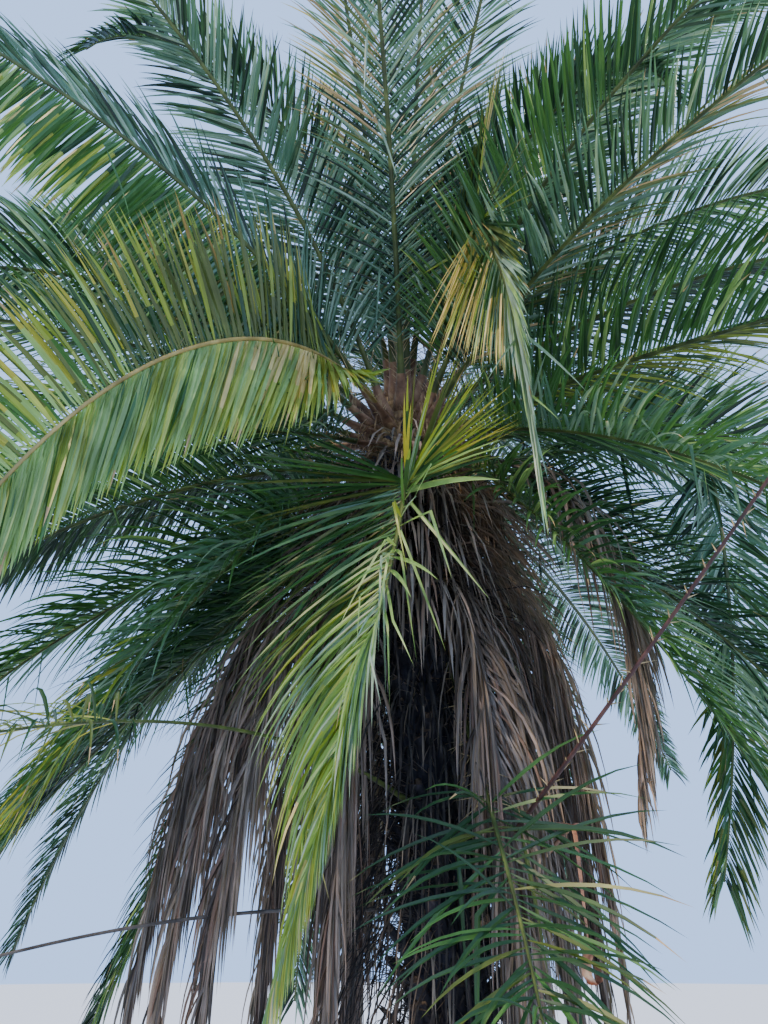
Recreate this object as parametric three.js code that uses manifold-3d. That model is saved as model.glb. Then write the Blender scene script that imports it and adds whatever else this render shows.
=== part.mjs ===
// Senegal date palm, whole: a leaning trunk clad in old leaf stubs, a heart of young leaves,
// arching live fronds all round it, and dead fronds that hang from it as a ragged skirt.
// Millimetres and degrees, +Z up. The origin is on the flat cut at the trunk's foot.
// Headings turn about +Z from +X, so 270 faces -Y, the side that the palm is seen from.
import * as THREE from "three";
import { mergeVertices } from "three/addons/utils/BufferGeometryUtils.js";
import Module from "manifold-3d";

const wasm = await Module();
wasm.setup();

// Trunk, from the ground to the tip that the heart stands on
const TRUNK_HEIGHT = 3450;
const TRUNK_SIDES = 14;
const TRUNK_RINGS = 16;
const STEM_RADIUS = 122;
const FLARE_RADIUS = 250;
const FLARE_HEIGHT = 190;
const CROWN_RADIUS = 170;
const CROWN_FROM = 2100;
const CROWN_FULL = 3000;
const LEAN_REACH = -130;
const LEAN_HEIGHT = 3600;

// Heart: the bundle of young leaf bases on the trunk's tip, with its unopened spears
const HEART_HEIGHT = 450;
const HEART_RINGS = 6;
const HEART_TIP_RADIUS = 45;
const SPEAR_COUNT = 3;
const SPEAR_LENGTH = 1150;
const SPEAR_RADIUS = 17;
const SPEAR_TILT = 9;

// Old leaf stubs that clad the trunk in a spiral
const STUB_COUNT = 84;
const STUB_FROM = 330;
const STUB_TO = 2560;
const STUB_LENGTH = 170;
const STUB_WIDTH = 66;
const STUB_DEPTH = 34;
const STUB_RISE = 38;
const STUB_SINK = 40;
const STUB_REACH = 130;
const STUB_CLEARANCE = 230;
const GOLDEN_ANGLE = 137.508;

// Frond: a rib with a bare stalk, and leaflets whose places follow one rule
const SPINE_STEPS = 48;
const ROOT_SINK = 80;
const RIB_WIDTH_ROOT = 44;
const RIB_WIDTH_BLADE = 24;
const RIB_WIDTH_TIP = 8;
const BARE_WIDTH_ROOT = 38;
const BARE_WIDTH_TIP = 15;
const RIB_DEPTH_RATIO = 0.5;
const RIB_TIP_LENGTH = 130;
const STALK_STATIONS = 4;
const LEAFLET_REACH = 500;
const LEAFLET_PITCH = 165;
const LEAFLET_ANGLE_ROOT = 62;
const LEAFLET_ANGLE_TIP = 30;
const LEAFLET_ANGLE_LEAST = 4;
const LEAFLET_LIFT = 22;
const LIMP_STEPS = 3;
const FOLD_SPAN = 0.1;
const ROLL_SPAN = 0.3;
const FIT_GAP = 0.3;
const LEAFLET_GAP = 1.5;
const GROUND_GAP = 60;
const SHORTER_LEAFLETS = [1, 0.75, 0.5];
const NECK_SHARE = 0.06;

// What a frond of each kind has: the share of the rib that is stalk, how limp its leaflets are
// at the blade's foot and tip, the splay of the left and right ones, and their length scale
const LIVE = { stalkShare: 0.12, limp: [0.28, 0.28], splay: [0, 0], scale: [1, 1] };
const DEAD = { stalkShare: 0.22, limp: [2.5, 2.5], splay: [-30, -30], scale: [1.2, 1.2] };
const STALK = { stalkShare: 0.62, limp: [0.5, 0.5], splay: [0, 0], scale: [0.7, 0.7] };
const BARE = { stalkShare: 1, limp: [0, 0], splay: [0, 0], scale: [0, 0] };

// Live fronds on the side that is seen: the height and heading that each leaves the trunk at,
// its rise there, the droop and swing that build up along it, and its roll about its rib.
// Splay, scale and gather are of the left and right leaflets: gather closes those near the tip.
// A frond that bends round a wide gap is split there into two bodies. One that joins another
// leaves the trunk in the same leaf base, and is one body with it.
const SEEN_FRONDS = [
  { name: "frond_left_arch", height: 3545, facing: 247, rise: 16, droop: 98, bend: 0.65, swing: -22,
    length: 2600, roll: 90, lift: 4, splay: [-14, 42], limp: [0.1, 0.1], scale: [1.2, 1.05], girth: 0.75 },
  { name: "frond_front_hanging", height: 3190, facing: 271, rise: -22, droop: 10, swing: -60,
    length: 2060, roll: -35, fold: { at: 0.18, drop: 42 }, stalkShare: 0.1, limp: [0.02, 3],
    splay: [8, 10], gather: [110, 8], scale: [1.15, 1.5] },
  { name: "frond_folded", height: 3610, facing: 294, rise: 42, droop: 26, bend: 0.9, swing: -35,
    length: 2350, roll: -78, fold: { at: 0.29, drop: 96 }, split: 0.4, limp: [0.02, 0.4],
    splay: [-8, -6], gather: [60, 60], scale: [1.5, 1.35] },
  { name: "frond_up_left", height: 3730, facing: 259, rise: 56, droop: 32, length: 2400 },
  { name: "frond_up_middle", height: 3670, facing: 273, rise: 60, droop: 35, length: 2400 },
  { name: "frond_up_right", height: 3760, facing: 285, rise: 60, droop: 40, length: 2400 },
  { name: "frond_high_curl", height: 3690, facing: 297, rise: 62, droop: 150, bend: 1.8, swing: 10,
    length: 2050, split: 0.62 },
  { name: "frond_right_steep", height: 3770, facing: 310, rise: 64, droop: 100, bend: 1.4, swing: 5,
    length: 2200 },
  { name: "frond_right_high", height: 3560, facing: 300, rise: 22, droop: 52, length: 2500, roll: -20 },
  { name: "frond_right_middle", height: 3640, facing: 315, rise: 40, droop: 73, swing: 28, length: 2300 },
  { name: "frond_right_low", height: 3520, facing: 318, rise: -2, droop: 30, swing: -13, length: 2400 },
  { name: "frond_right_fall", height: 3390, facing: 345, rise: 4, droop: 26, bend: 1.3, swing: 24,
    length: 2650, roll: -80, fold: { at: 0.34, drop: 88 }, split: 0.45, scale: [1.35, 1.2] },
  { name: "frond_near_low", height: 2620, facing: 294, rise: -70, droop: -30, swing: -30, length: 1600,
    stalkShare: 0.42, splay: [14, 14], scale: [1.1, 1.1] },
  { name: "frond_left_high", height: 3610, facing: 233, rise: 32, droop: 64, swing: -3, length: 2500,
    roll: -74, splay: [0, 22], limp: [0.4, 0.6], scale: [1, 1.2] },
  { name: "frond_left_crest", height: 3790, facing: 246, rise: 66, droop: 140, bend: 1.6, swing: -28,
    length: 2250, roll: 20, split: 0.55 },
  { name: "frond_left_middle", height: 3570, facing: 216, rise: 30, droop: 85, length: 2300, roll: -30 },
  { name: "frond_left_low", height: 3480, facing: 218, rise: 2, droop: 60, swing: -6, length: 2200,
    roll: 30 },
  { name: "frond_left_sag", height: 3350, facing: 172, rise: -49, droop: 0, swing: 48, length: 2200 },
  { name: "frond_left_drop", height: 3270, facing: 158, rise: -60, droop: 10, swing: 60, length: 2100 },
  { joins: "frond_left_high", height: 3600, facing: 240, rise: 52, droop: 60, swing: -6, length: 2300,
    roll: -15 },
  { joins: "frond_left_middle", height: 3560, facing: 209, rise: 12, droop: 48, swing: 8, length: 2400 },
  { joins: "frond_left_low", height: 3465, facing: 226, rise: -16, droop: 40, swing: 4, length: 2300,
    roll: 10 },
  { joins: "frond_left_low", height: 3455, facing: 211, rise: -44, droop: 28, swing: -4, length: 2300 },
  { joins: "frond_left_sag", height: 3335, facing: 180, rise: -24, droop: 34, swing: 40, length: 2200 },
  { joins: "frond_left_drop", height: 3255, facing: 164, rise: -38, droop: 22, swing: 52, length: 2200 },
  { joins: "frond_up_middle", height: 3655, facing: 267, rise: 44, droop: 40, swing: -4, length: 2300 },
  { joins: "frond_right_high", height: 3550, facing: 293, rise: 38, droop: 50, swing: 18, length: 2400 },
  { joins: "frond_right_middle", height: 3630, facing: 322, rise: 20, droop: 55, swing: 8, length: 2400 },
  { joins: "frond_right_low", height: 3510, facing: 311, rise: -20, droop: 42, swing: -4, length: 2300 },
  { joins: "frond_right_low", height: 3500, facing: 311, rise: -46, droop: 26, swing: 14, length: 2300 },
  { joins: "frond_right_fall", height: 3385, facing: 340, rise: -34, droop: 34, swing: -12, length: 2200 },
];

// Live fronds on the far side, shared out evenly from the steepest down to the oldest, and a
// lower one that joins every second of them
const FAR_COUNT = 17;
const FAR_SECTOR_FROM = -18;
const FAR_SECTOR = 222;
const FAR_TURN = 0.618034;
const FAR_HEIGHT = { young: 3780, old: 3330 };
const FAR_RISE = { young: 68, old: -28 };
const FAR_DROOP = { young: 62, old: 48 };
const FAR_LENGTH = { young: 2250, old: 2500 };
const FAR_ROLL = 24;
const FAR_STALK = 0.1;
const FAR_JOINED_LAST = 13;
const LOWER = { sunk: 10, turned: 8, fallen: 24, swing: 10, shorter: 0.97 };

// Dead fronds: heading, height, rise where they leave the trunk, and length. All end hanging.
const HANGING_RISE = -88;
const DEAD_BEND = 0.3;
const DEAD_FRONDS = [
  { name: "dead_left_far", facing: 192, height: 3180, rise: -8, length: 2100 },
  { name: "dead_left_middle", facing: 203, height: 3120, rise: -16, length: 2100 },
  { name: "dead_left_near", facing: 216, height: 3180, rise: -26, length: 2100 },
  { name: "dead_right_near", facing: 302, height: 3200, rise: -56, length: 2200 },
  { name: "dead_right_middle", facing: 323, height: 3400, rise: 26, length: 1700, bend: 0.4, droop: 128,
    swing: 12, splay: [-12, -12] },
  { name: "dead_right_far", facing: 350, height: 3260, rise: -34, length: 1800 },
  { name: "dead_skirt_1", facing: 222, height: 3060, rise: -66, length: 1900 },
  { name: "dead_skirt_2", facing: 312, height: 2960, rise: -70, length: 2100 },
  { name: "dead_skirt_3", facing: 338, height: 3040, rise: -60, length: 2000 },
];
const FAR_DEAD_COUNT = 5;
const FAR_DEAD = { from: 5, step: 38, height: 3160, rise: -44, length: 2000 };

// Ribs that stand low on the trunk: a stalk with leaflets only at its end, a thorny rib that
// has lost its leaflets, a grey dead rib and the stump of a frond that was cut
const LOW_RIBS = [
  { name: "stalk_low", height: 2030, facing: 230, rise: 20, droop: 48, bend: 0.8, swing: 12, length: 1900,
    girth: 0.5, kind: STALK },
  { name: "rib_thorny", height: 1750, facing: 297, rise: 28, droop: 0, swing: -5, length: 1900,
    girth: 0.7 },
  { name: "rib_grey", height: 1720, facing: 208, rise: 2, droop: 24, swing: 20, length: 1850, girth: 0.7 },
  { name: "rib_cut_stump", height: 1660, facing: 322, rise: 38, droop: 0, length: 460 },
];

const radians = THREE.MathUtils.degToRad;
const lerp = THREE.MathUtils.lerp;

function axisAt(height) {
  const share = height / LEAN_HEIGHT;
  return new THREE.Vector3(LEAN_REACH * share * share, 0, height);
}

function stemRadius(height) {
  const flare = (FLARE_RADIUS - STEM_RADIUS) * Math.exp(-height / FLARE_HEIGHT);
  const crown = (CROWN_RADIUS - STEM_RADIUS) * THREE.MathUtils.smoothstep(height, CROWN_FROM, CROWN_FULL);
  if (height <= TRUNK_HEIGHT) return STEM_RADIUS + flare + crown;
  const share = (height - TRUNK_HEIGHT) / HEART_HEIGHT;
  return lerp(CROWN_RADIUS, HEART_TIP_RADIUS, share * share);
}

// Outward direction for a heading and a rise
function direction(heading, rise) {
  const level = Math.cos(radians(rise));
  return new THREE.Vector3(
    level * Math.cos(radians(heading)),
    level * Math.sin(radians(heading)),
    Math.sin(radians(rise)),
  );
}

// A closed mesh geometry as a solid: shared corners are merged and flat slivers dropped
function solidOf(geometry) {
  const bare = geometry.clone();
  bare.deleteAttribute("normal");
  bare.deleteAttribute("uv");
  const merged = mergeVertices(bare, 1e-3);
  const index = merged.index.array;
  const kept = [];
  for (let i = 0; i < index.length; i += 3) {
    const [a, b, c] = [index[i], index[i + 1], index[i + 2]];
    if (a !== b && b !== c && c !== a) kept.push(a, b, c);
  }
  const mesh = new wasm.Mesh({
    numProp: 3,
    vertProperties: Float32Array.from(merged.attributes.position.array),
    triVerts: Uint32Array.from(kept),
  });
  return new wasm.Manifold(mesh);
}

function meshOf(name, solid, material) {
  const { vertProperties, triVerts } = solid.getMesh();
  const geometry = new THREE.BufferGeometry();
  geometry.setAttribute("position", new THREE.BufferAttribute(vertProperties, 3));
  geometry.setIndex(new THREE.BufferAttribute(triVerts, 1));
  geometry.computeVertexNormals();
  const mesh = new THREE.Mesh(geometry, material);
  mesh.name = name;
  return mesh;
}

// A turned stretch of the stem between two heights, leaning as the trunk leans
function stemStretch(from, to, rings, grown) {
  const profile = [new THREE.Vector2(0, from)];
  for (let i = 0; i <= rings; i += 1) {
    const height = lerp(from, to, i / rings);
    profile.push(new THREE.Vector2(stemRadius(height) + grown, height));
  }
  profile.push(new THREE.Vector2(0, to));
  const geometry = new THREE.LatheGeometry(profile, TRUNK_SIDES);
  geometry.rotateX(Math.PI / 2);
  const position = geometry.attributes.position;
  for (let i = 0; i < position.count; i += 1) {
    position.setX(i, position.getX(i) + axisAt(position.getZ(i)).x);
  }
  return solidOf(geometry);
}

// A four-sided or round bar that tapers from its foot, laid along a direction
function taperedBar({ foot, along, length, width, depth, tipScale, sides }) {
  const geometry = new THREE.CylinderGeometry(tipScale / 2, 0.5, 1, sides);
  geometry.rotateY(Math.PI / sides);
  geometry.translate(0, 0.5, 0);
  const across = new THREE.Vector3(along.y, -along.x, 0).normalize();
  const up = new THREE.Vector3().crossVectors(across, along);
  const frame = new THREE.Matrix4().makeBasis(
    across.multiplyScalar(width),
    along.clone().multiplyScalar(length),
    up.multiplyScalar(depth),
  );
  frame.setPosition(foot);
  geometry.applyMatrix4(frame);
  return solidOf(geometry);
}

function isClearOfSeats(height, heading) {
  return [...LOW_RIBS, ...SEEN_FRONDS].every((rib) => {
    const turn = radians(heading - rib.facing);
    const apart = 2 * stemRadius(height) * Math.sin(turn / 2);
    return Math.hypot(apart, height - rib.height) > STUB_CLEARANCE;
  });
}

function trunkSolid() {
  const stubs = [];
  for (let i = 0; i < STUB_COUNT; i += 1) {
    const height = lerp(STUB_FROM, STUB_TO, (i + 0.5) / STUB_COUNT);
    const heading = (i * GOLDEN_ANGLE) % 360;
    if (!isClearOfSeats(height, heading)) continue;
    const seat = axisAt(height).addScaledVector(direction(heading, 0), stemRadius(height) - STUB_SINK);
    stubs.push(taperedBar({
      foot: seat, along: direction(heading, STUB_RISE), length: STUB_LENGTH,
      width: STUB_WIDTH, depth: STUB_DEPTH, tipScale: 0.7, sides: 4,
    }));
  }
  return wasm.Manifold.union([stemStretch(0, TRUNK_HEIGHT, TRUNK_RINGS, 0), ...stubs]);
}

function heartSolid() {
  const from = TRUNK_HEIGHT + FIT_GAP;
  const bundle = stemStretch(from, TRUNK_HEIGHT + HEART_HEIGHT, HEART_RINGS, 0);
  const spears = [];
  for (let i = 0; i < SPEAR_COUNT; i += 1) {
    spears.push(taperedBar({
      foot: axisAt(TRUNK_HEIGHT + HEART_HEIGHT * 0.7),
      along: direction(i * GOLDEN_ANGLE, 90 - SPEAR_TILT * (0.4 + i * 0.4)),
      length: SPEAR_LENGTH * (1 - i * 0.15),
      width: SPEAR_RADIUS * 2, depth: SPEAR_RADIUS * 2, tipScale: 0.25, sides: 6,
    }));
  }
  return wasm.Manifold.union([bundle, ...spears]);
}

// Direction of a frond's rib at a share of its length
function ribDirection(frond, share) {
  let rise = frond.rise - frond.droop * share ** frond.bend;
  if (frond.fold) {
    rise -= frond.fold.drop * THREE.MathUtils.smoothstep(share, frond.fold.at, frond.fold.at + FOLD_SPAN);
  }
  return direction(frond.facing + frond.swing * share, rise);
}

// Points of a frond's rib, stepped out from the trunk's side
function ribSpine(frond) {
  const seat = direction(frond.facing, 0).multiplyScalar(stemRadius(frond.height));
  const points = [seat.add(axisAt(frond.height))];
  for (let i = 0; i < SPINE_STEPS; i += 1) {
    const step = ribDirection(frond, (i + 0.5) / SPINE_STEPS).multiplyScalar(frond.length / SPINE_STEPS);
    points.push(points[i].clone().add(step));
  }
  return points;
}

// Place of the rib at a share of its length, with its along, across and up directions
function ribFrame(frond, share) {
  const place = Math.max(0, share) * SPINE_STEPS;
  const step = Math.min(Math.floor(place), SPINE_STEPS - 1);
  const point = frond.spine[step].clone().lerp(frond.spine[step + 1], place - step);
  const along = ribDirection(frond, Math.max(0, share));
  point.addScaledVector(along, Math.min(0, share) * frond.length);
  const heading = radians(frond.facing + frond.swing * share);
  const level = new THREE.Vector3(Math.sin(heading), -Math.cos(heading), 0);
  const roll = radians(frond.roll) * THREE.MathUtils.clamp(share / ROLL_SPAN, 0, 1);
  const across = level.applyAxisAngle(along, -roll);
  const up = new THREE.Vector3().crossVectors(across, along);
  return { point, along, across, up };
}

function ribWidth(frond, share) {
  const { girth, stalkShare } = frond;
  if (frond.kind === BARE) return girth * lerp(BARE_WIDTH_ROOT, BARE_WIDTH_TIP, Math.max(0, share));
  if (share < stalkShare) {
    return girth * lerp(RIB_WIDTH_ROOT, RIB_WIDTH_BLADE, Math.max(0, share) / stalkShare);
  }
  const blade = (share - stalkShare) / (1 - stalkShare);
  return girth * lerp(RIB_WIDTH_BLADE, RIB_WIDTH_TIP, blade);
}

// Four corners round the rib, from the upper left one clockwise as seen from the trunk
function ribCorners(frond, share) {
  const { point, across, up } = ribFrame(frond, share);
  const half = ribWidth(frond, share) / 2;
  const deep = half * RIB_DEPTH_RATIO;
  return [[-half, deep], [half, deep], [half, -deep], [-half, -deep]].map(([side, rise]) => (
    point.clone().addScaledVector(across, side).addScaledVector(up, rise)
  ));
}

// Tip of the leaflet that grows from the rib at a share of its length, on one side of it
function leafletTip(frond, share, side, scale) {
  const { point, along, across, up } = ribFrame(frond, share);
  const blade = (share - frond.stalkShare) / (1 - frond.stalkShare);
  const swell = Math.sin(Math.PI * Math.min(1, blade * 1.1) ** 0.6);
  const which = side < 0 ? 0 : 1;
  const reach = LEAFLET_REACH * frond.scale[which] * scale * (0.55 + 0.45 * swell) * (1 - 0.45 * blade);
  const open = lerp(LEAFLET_ANGLE_ROOT, LEAFLET_ANGLE_TIP, blade) + frond.splay[which];
  const angle = radians(Math.max(open - frond.gather[which] * blade * blade, LEAFLET_ANGLE_LEAST));
  const lift = radians(frond.lift);
  const heading = along.clone().multiplyScalar(Math.cos(angle))
    .addScaledVector(across, Math.sin(angle) * Math.cos(lift) * side)
    .addScaledVector(up, Math.sin(angle) * Math.sin(lift));
  const limp = lerp(frond.limp[0], frond.limp[1], blade * blade);
  const tip = point.clone();
  for (let i = 0; i < LIMP_STEPS; i += 1) {
    heading.z -= (limp / LIMP_STEPS) * (i + 0.5);
    heading.normalize();
    tip.addScaledVector(heading, reach / LIMP_STEPS);
  }
  return tip;
}

// Shares of the length at which a frond's rib has a corner ring, and whether leaflets follow
function ribStations(frond) {
  const { stalkShare } = frond;
  const stations = [{ share: -ROOT_SINK / frond.length, blade: false }];
  for (let i = 0; i < STALK_STATIONS; i += 1) {
    stations.push({ share: (stalkShare * i) / STALK_STATIONS, blade: false });
  }
  const count = Math.round((frond.length * (1 - stalkShare)) / LEAFLET_PITCH);
  for (let i = 0; i <= count; i += 1) {
    stations.push({ share: lerp(stalkShare, 1, count ? i / count : 0), blade: i < count });
  }
  return stations;
}

// A convex cell, for telling whether two pieces keep apart
function convexCell(points, faces, edges) {
  const span = (a, b) => points[b].clone().sub(points[a]).normalize();
  return {
    points,
    normals: faces.map(([a, b, c]) => span(a, b).cross(span(a, c)).normalize()),
    directions: edges.map(([a, b]) => span(a, b)),
    box: new THREE.Box3().setFromPoints(points),
  };
}

const RIB_CELL_FACES = [[0, 1, 5], [1, 2, 6], [2, 3, 7], [3, 0, 4], [0, 1, 2], [4, 5, 6]];
const RIB_CELL_EDGES = [[0, 1], [1, 2], [4, 5], [5, 6], [0, 4], [1, 5], [2, 6], [3, 7]];
const LEAFLET_CELL_FACES = [[0, 1, 4], [1, 2, 4], [2, 3, 4], [3, 0, 4], [0, 1, 2]];
const LEAFLET_CELL_EDGES = [[0, 1], [1, 2], [0, 4], [1, 4], [2, 4], [3, 4]];

function spanAlong(axis, points) {
  let low = Infinity;
  let high = -Infinity;
  for (const point of points) {
    const place = axis.dot(point);
    low = Math.min(low, place);
    high = Math.max(high, place);
  }
  return [low, high];
}

function keepApart(first, second, gap) {
  if (!first.box.clone().expandByScalar(gap).intersectsBox(second.box)) return true;
  const isApartAlong = (axis) => {
    const [lowFirst, highFirst] = spanAlong(axis, first.points);
    const [lowSecond, highSecond] = spanAlong(axis, second.points);
    return Math.max(lowSecond - highFirst, lowFirst - highSecond) > gap;
  };
  if (first.normals.some(isApartAlong) || second.normals.some(isApartAlong)) return true;
  return first.directions.some((one) => second.directions.some((other) => {
    const axis = new THREE.Vector3().crossVectors(one, other);
    return axis.lengthSq() > 1e-6 && isApartAlong(axis.normalize());
  }));
}

// Convex cells that stand for the trunk with its stubs
function trunkCells() {
  const cells = [];
  const sides = 8;
  const step = 230;
  for (let from = 0; from < TRUNK_HEIGHT; from += step) {
    const reach = from < STUB_TO ? STUB_REACH : 0;
    const rings = [from, from + step].map((height) => {
      const ring = [];
      for (let i = 0; i < sides; i += 1) {
        const corner = direction((i * 360) / sides, 0);
        corner.multiplyScalar((stemRadius(height) + reach) / Math.cos(Math.PI / sides));
        ring.push(corner.add(axisAt(height)));
      }
      return ring;
    });
    const faces = [[0, 1, 2], [sides, sides + 1, sides + 2]];
    const edges = [];
    for (let i = 0; i < sides; i += 1) {
      faces.push([i, (i + 1) % sides, sides + i]);
      edges.push([i, (i + 1) % sides]);
      edges.push([i, sides + i]);
    }
    cells.push(convexCell(rings.flat(), faces, edges));
  }
  return cells;
}

// Leaflets of every frond, shortened or left out where they would touch a rib, the trunk or
// a leaflet that is there already. Next to its own root only what lies past its neck counts.
function growLeaflets(fronds) {
  const standing = trunkCells().map((cell) => ({ cell, frond: null, station: 0 }));
  for (const frond of fronds) {
    frond.rings = frond.stations.map(({ share }) => ribCorners(frond, share));
    frond.leaflets = [];
    for (let i = 1; i + 1 < frond.rings.length; i += 1) {
      const points = [...frond.rings[i], ...frond.rings[i + 1]];
      standing.push({ cell: convexCell(points, RIB_CELL_FACES, RIB_CELL_EDGES), frond, station: i });
    }
  }
  const fits = (cell, outer, frond, station) => cell.box.min.z > GROUND_GAP && standing.every((other) => {
    const isNextToIt = other.frond === frond && Math.abs(other.station - station) < 2;
    return isNextToIt ? keepApart(outer, other.cell, 0) : keepApart(cell, other.cell, LEAFLET_GAP);
  });
  for (const frond of fronds) {
    frond.stations.forEach(({ share, blade }, station) => {
      if (!blade) return;
      const middle = (share + frond.stations[station + 1].share) / 2;
      const [near, far] = [frond.rings[station], frond.rings[station + 1]];
      for (const side of [-1, 1]) {
        const root = side < 0 ? [near[0], near[3], far[3], far[0]] : [near[1], near[2], far[2], far[1]];
        for (const scale of SHORTER_LEAFLETS) {
          const tip = leafletTip(frond, middle, side, scale);
          const cell = convexCell([...root, tip], LEAFLET_CELL_FACES, LEAFLET_CELL_EDGES);
          const neck = root.map((corner) => corner.clone().lerp(tip, NECK_SHARE));
          const outer = convexCell([...neck, tip], LEAFLET_CELL_FACES, LEAFLET_CELL_EDGES);
          if (!fits(cell, outer, frond, station)) continue;
          standing.push({ cell, frond, station });
          frond.leaflets.push({ station, side, tip });
          break;
        }
      }
    });
  }
}

// One closed body from a run of a frond's stations: the rib, and a blade for each leaflet
// with the outline cut back to the rib between them
function frondSolid(frond, first, last) {
  const points = [];
  const triangles = [];
  const place = (point) => points.push(point.x, point.y, point.z) / 3 - 1;
  const quad = (a, b, c, d) => triangles.push(a, b, c, a, c, d);
  const rings = frond.rings.slice(first, last + 1).map((ring) => ring.map(place));
  const leafletAt = (station, side) => frond.leaflets.find((leaflet) => (
    leaflet.station === station && leaflet.side === side
  ));
  for (let i = 0; i + 1 < rings.length; i += 1) {
    const [a, b, c, d] = rings[i];
    const [e, f, g, h] = rings[i + 1];
    quad(a, b, f, e);
    quad(h, g, c, d);
    const right = leafletAt(first + i, 1);
    const left = leafletAt(first + i, -1);
    if (right) {
      const tip = place(right.tip);
      triangles.push(b, tip, f, g, tip, c, b, c, tip, g, f, tip);
    } else quad(b, c, g, f);
    if (left) {
      const tip = place(left.tip);
      triangles.push(e, tip, a, d, tip, h, d, a, tip, e, h, tip);
    } else quad(d, a, e, h);
  }
  const [a, b, c, d] = rings[0];
  quad(a, d, c, b);
  const [e, f, g, h] = rings[rings.length - 1];
  if (last === frond.rings.length - 1 && frond.kind !== BARE) {
    const { point, along } = ribFrame(frond, 1);
    const tip = place(point.addScaledVector(along, RIB_TIP_LENGTH));
    triangles.push(e, f, tip, f, g, tip, g, h, tip, h, e, tip);
  } else quad(e, f, g, h);
  const geometry = new THREE.BufferGeometry();
  geometry.setAttribute("position", new THREE.Float32BufferAttribute(points, 3));
  geometry.setIndex(triangles);
  return solidOf(geometry);
}

function withDefaults(frond, kind) {
  const plain = { bend: 1, swing: 0, roll: 0, lift: LEAFLET_LIFT, gather: [0, 0], girth: 1, kind };
  const full = { ...plain, ...(frond.kind ?? kind), ...frond };
  full.spine = ribSpine(full);
  full.stations = ribStations(full);
  return full;
}

// Steepness, height and length all follow the age of a far frond, from young to old
function farFronds() {
  const fronds = [];
  for (let i = 0; i < FAR_COUNT; i += 1) {
    const age = i / (FAR_COUNT - 1);
    const frond = {
      name: `frond_far_${i + 1}`,
      facing: FAR_SECTOR_FROM + FAR_SECTOR * ((0.5 + i * FAR_TURN) % 1),
      height: lerp(FAR_HEIGHT.young, FAR_HEIGHT.old, age),
      rise: lerp(FAR_RISE.young, FAR_RISE.old, age),
      droop: lerp(FAR_DROOP.young, FAR_DROOP.old, age),
      length: lerp(FAR_LENGTH.young, FAR_LENGTH.old, age),
      roll: FAR_ROLL * (i % 2 ? 1 : -1),
      stalkShare: FAR_STALK,
    };
    fronds.push(frond);
    if (i % 2 === 0 || i > FAR_JOINED_LAST) continue;
    fronds.push({
      ...frond,
      joins: frond.name,
      height: frond.height - LOWER.sunk,
      facing: frond.facing + LOWER.turned,
      rise: frond.rise - LOWER.fallen,
      length: frond.length * LOWER.shorter,
      swing: LOWER.swing,
      roll: -frond.roll,
    });
  }
  return fronds;
}

function deadFronds() {
  const fronds = [...DEAD_FRONDS];
  for (let i = 0; i < FAR_DEAD_COUNT; i += 1) {
    const stagger = i % 2;
    fronds.push({
      name: `dead_far_${i + 1}`,
      facing: FAR_DEAD.from + FAR_DEAD.step * i,
      height: FAR_DEAD.height - 90 * stagger,
      rise: FAR_DEAD.rise - 12 * stagger,
      length: FAR_DEAD.length + 150 * stagger,
    });
  }
  return fronds.map((frond) => ({ bend: DEAD_BEND, droop: frond.rise - HANGING_RISE, ...frond }));
}

const bark = new THREE.MeshStandardMaterial({ color: "#3b3330", roughness: 0.95, metalness: 0 });
const fibre = new THREE.MeshStandardMaterial({ color: "#8d6a45", roughness: 0.9, metalness: 0 });
const leafGreen = new THREE.MeshStandardMaterial({ color: "#3f6b35", roughness: 0.6, metalness: 0 });
const dryLeaf = new THREE.MeshStandardMaterial({ color: "#7d6f62", roughness: 0.9, metalness: 0 });
const oldRib = new THREE.MeshStandardMaterial({ color: "#6e4a3a", roughness: 0.8, metalness: 0 });

const trunk = new THREE.Group();
trunk.add(meshOf("trunk", trunkSolid(), bark));
trunk.add(meshOf("heart", heartSolid(), fibre));

const live = [...SEEN_FRONDS, ...farFronds()].map((frond) => withDefaults(frond, LIVE));
const dead = deadFronds().map((frond) => withDefaults(frond, DEAD));
const low = LOW_RIBS.map((frond) => withDefaults(frond, BARE));
growLeaflets([...live, ...dead, ...low]);

const stemCutter = wasm.Manifold.union([
  stemStretch(0, TRUNK_HEIGHT, TRUNK_RINGS, FIT_GAP),
  stemStretch(TRUNK_HEIGHT, TRUNK_HEIGHT + HEART_HEIGHT, HEART_RINGS, FIT_GAP),
]);

// One mesh for a frond and those that join it, or two where it is split at its bend
function frondMeshes(frond, joined, material) {
  const last = frond.rings.length - 1;
  const seam = frond.split ? frond.stations.findIndex(({ share }) => share > frond.split) : last;
  const bodies = joined.map((other) => frondSolid(other, 0, other.rings.length - 1));
  const whole = wasm.Manifold.union([frondSolid(frond, 0, seam), ...bodies]).subtract(stemCutter);
  const meshes = [meshOf(frond.name, whole, material)];
  if (seam < last) {
    frond.rings[seam] = ribCorners(frond, frond.stations[seam].share + FIT_GAP / frond.length);
    meshes.push(meshOf(`${frond.name}_tip`, frondSolid(frond, seam, last), material));
  }
  return meshes;
}

function frondGroup(fronds, materialOf) {
  const group = new THREE.Group();
  for (const frond of fronds) {
    if (frond.joins) continue;
    const joined = fronds.filter((other) => other.joins === frond.name);
    group.add(...frondMeshes(frond, joined, materialOf(frond)));
  }
  return group;
}

const palm = new THREE.Group();
palm.add(trunk);
palm.add(frondGroup(live, () => leafGreen));
palm.add(frondGroup(dead, () => dryLeaf));
palm.add(frondGroup(low, (frond) => (frond.kind === STALK ? leafGreen : oldRib)));

export default palm;
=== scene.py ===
# Senegal date palm: bark, leaf stubs, fibre, ribs and every leaflet, grown round the packed solids.
# Metres and degrees. Headings turn about +Z from +X, so 270 faces the camera.
import math
from types import SimpleNamespace as Values

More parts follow.
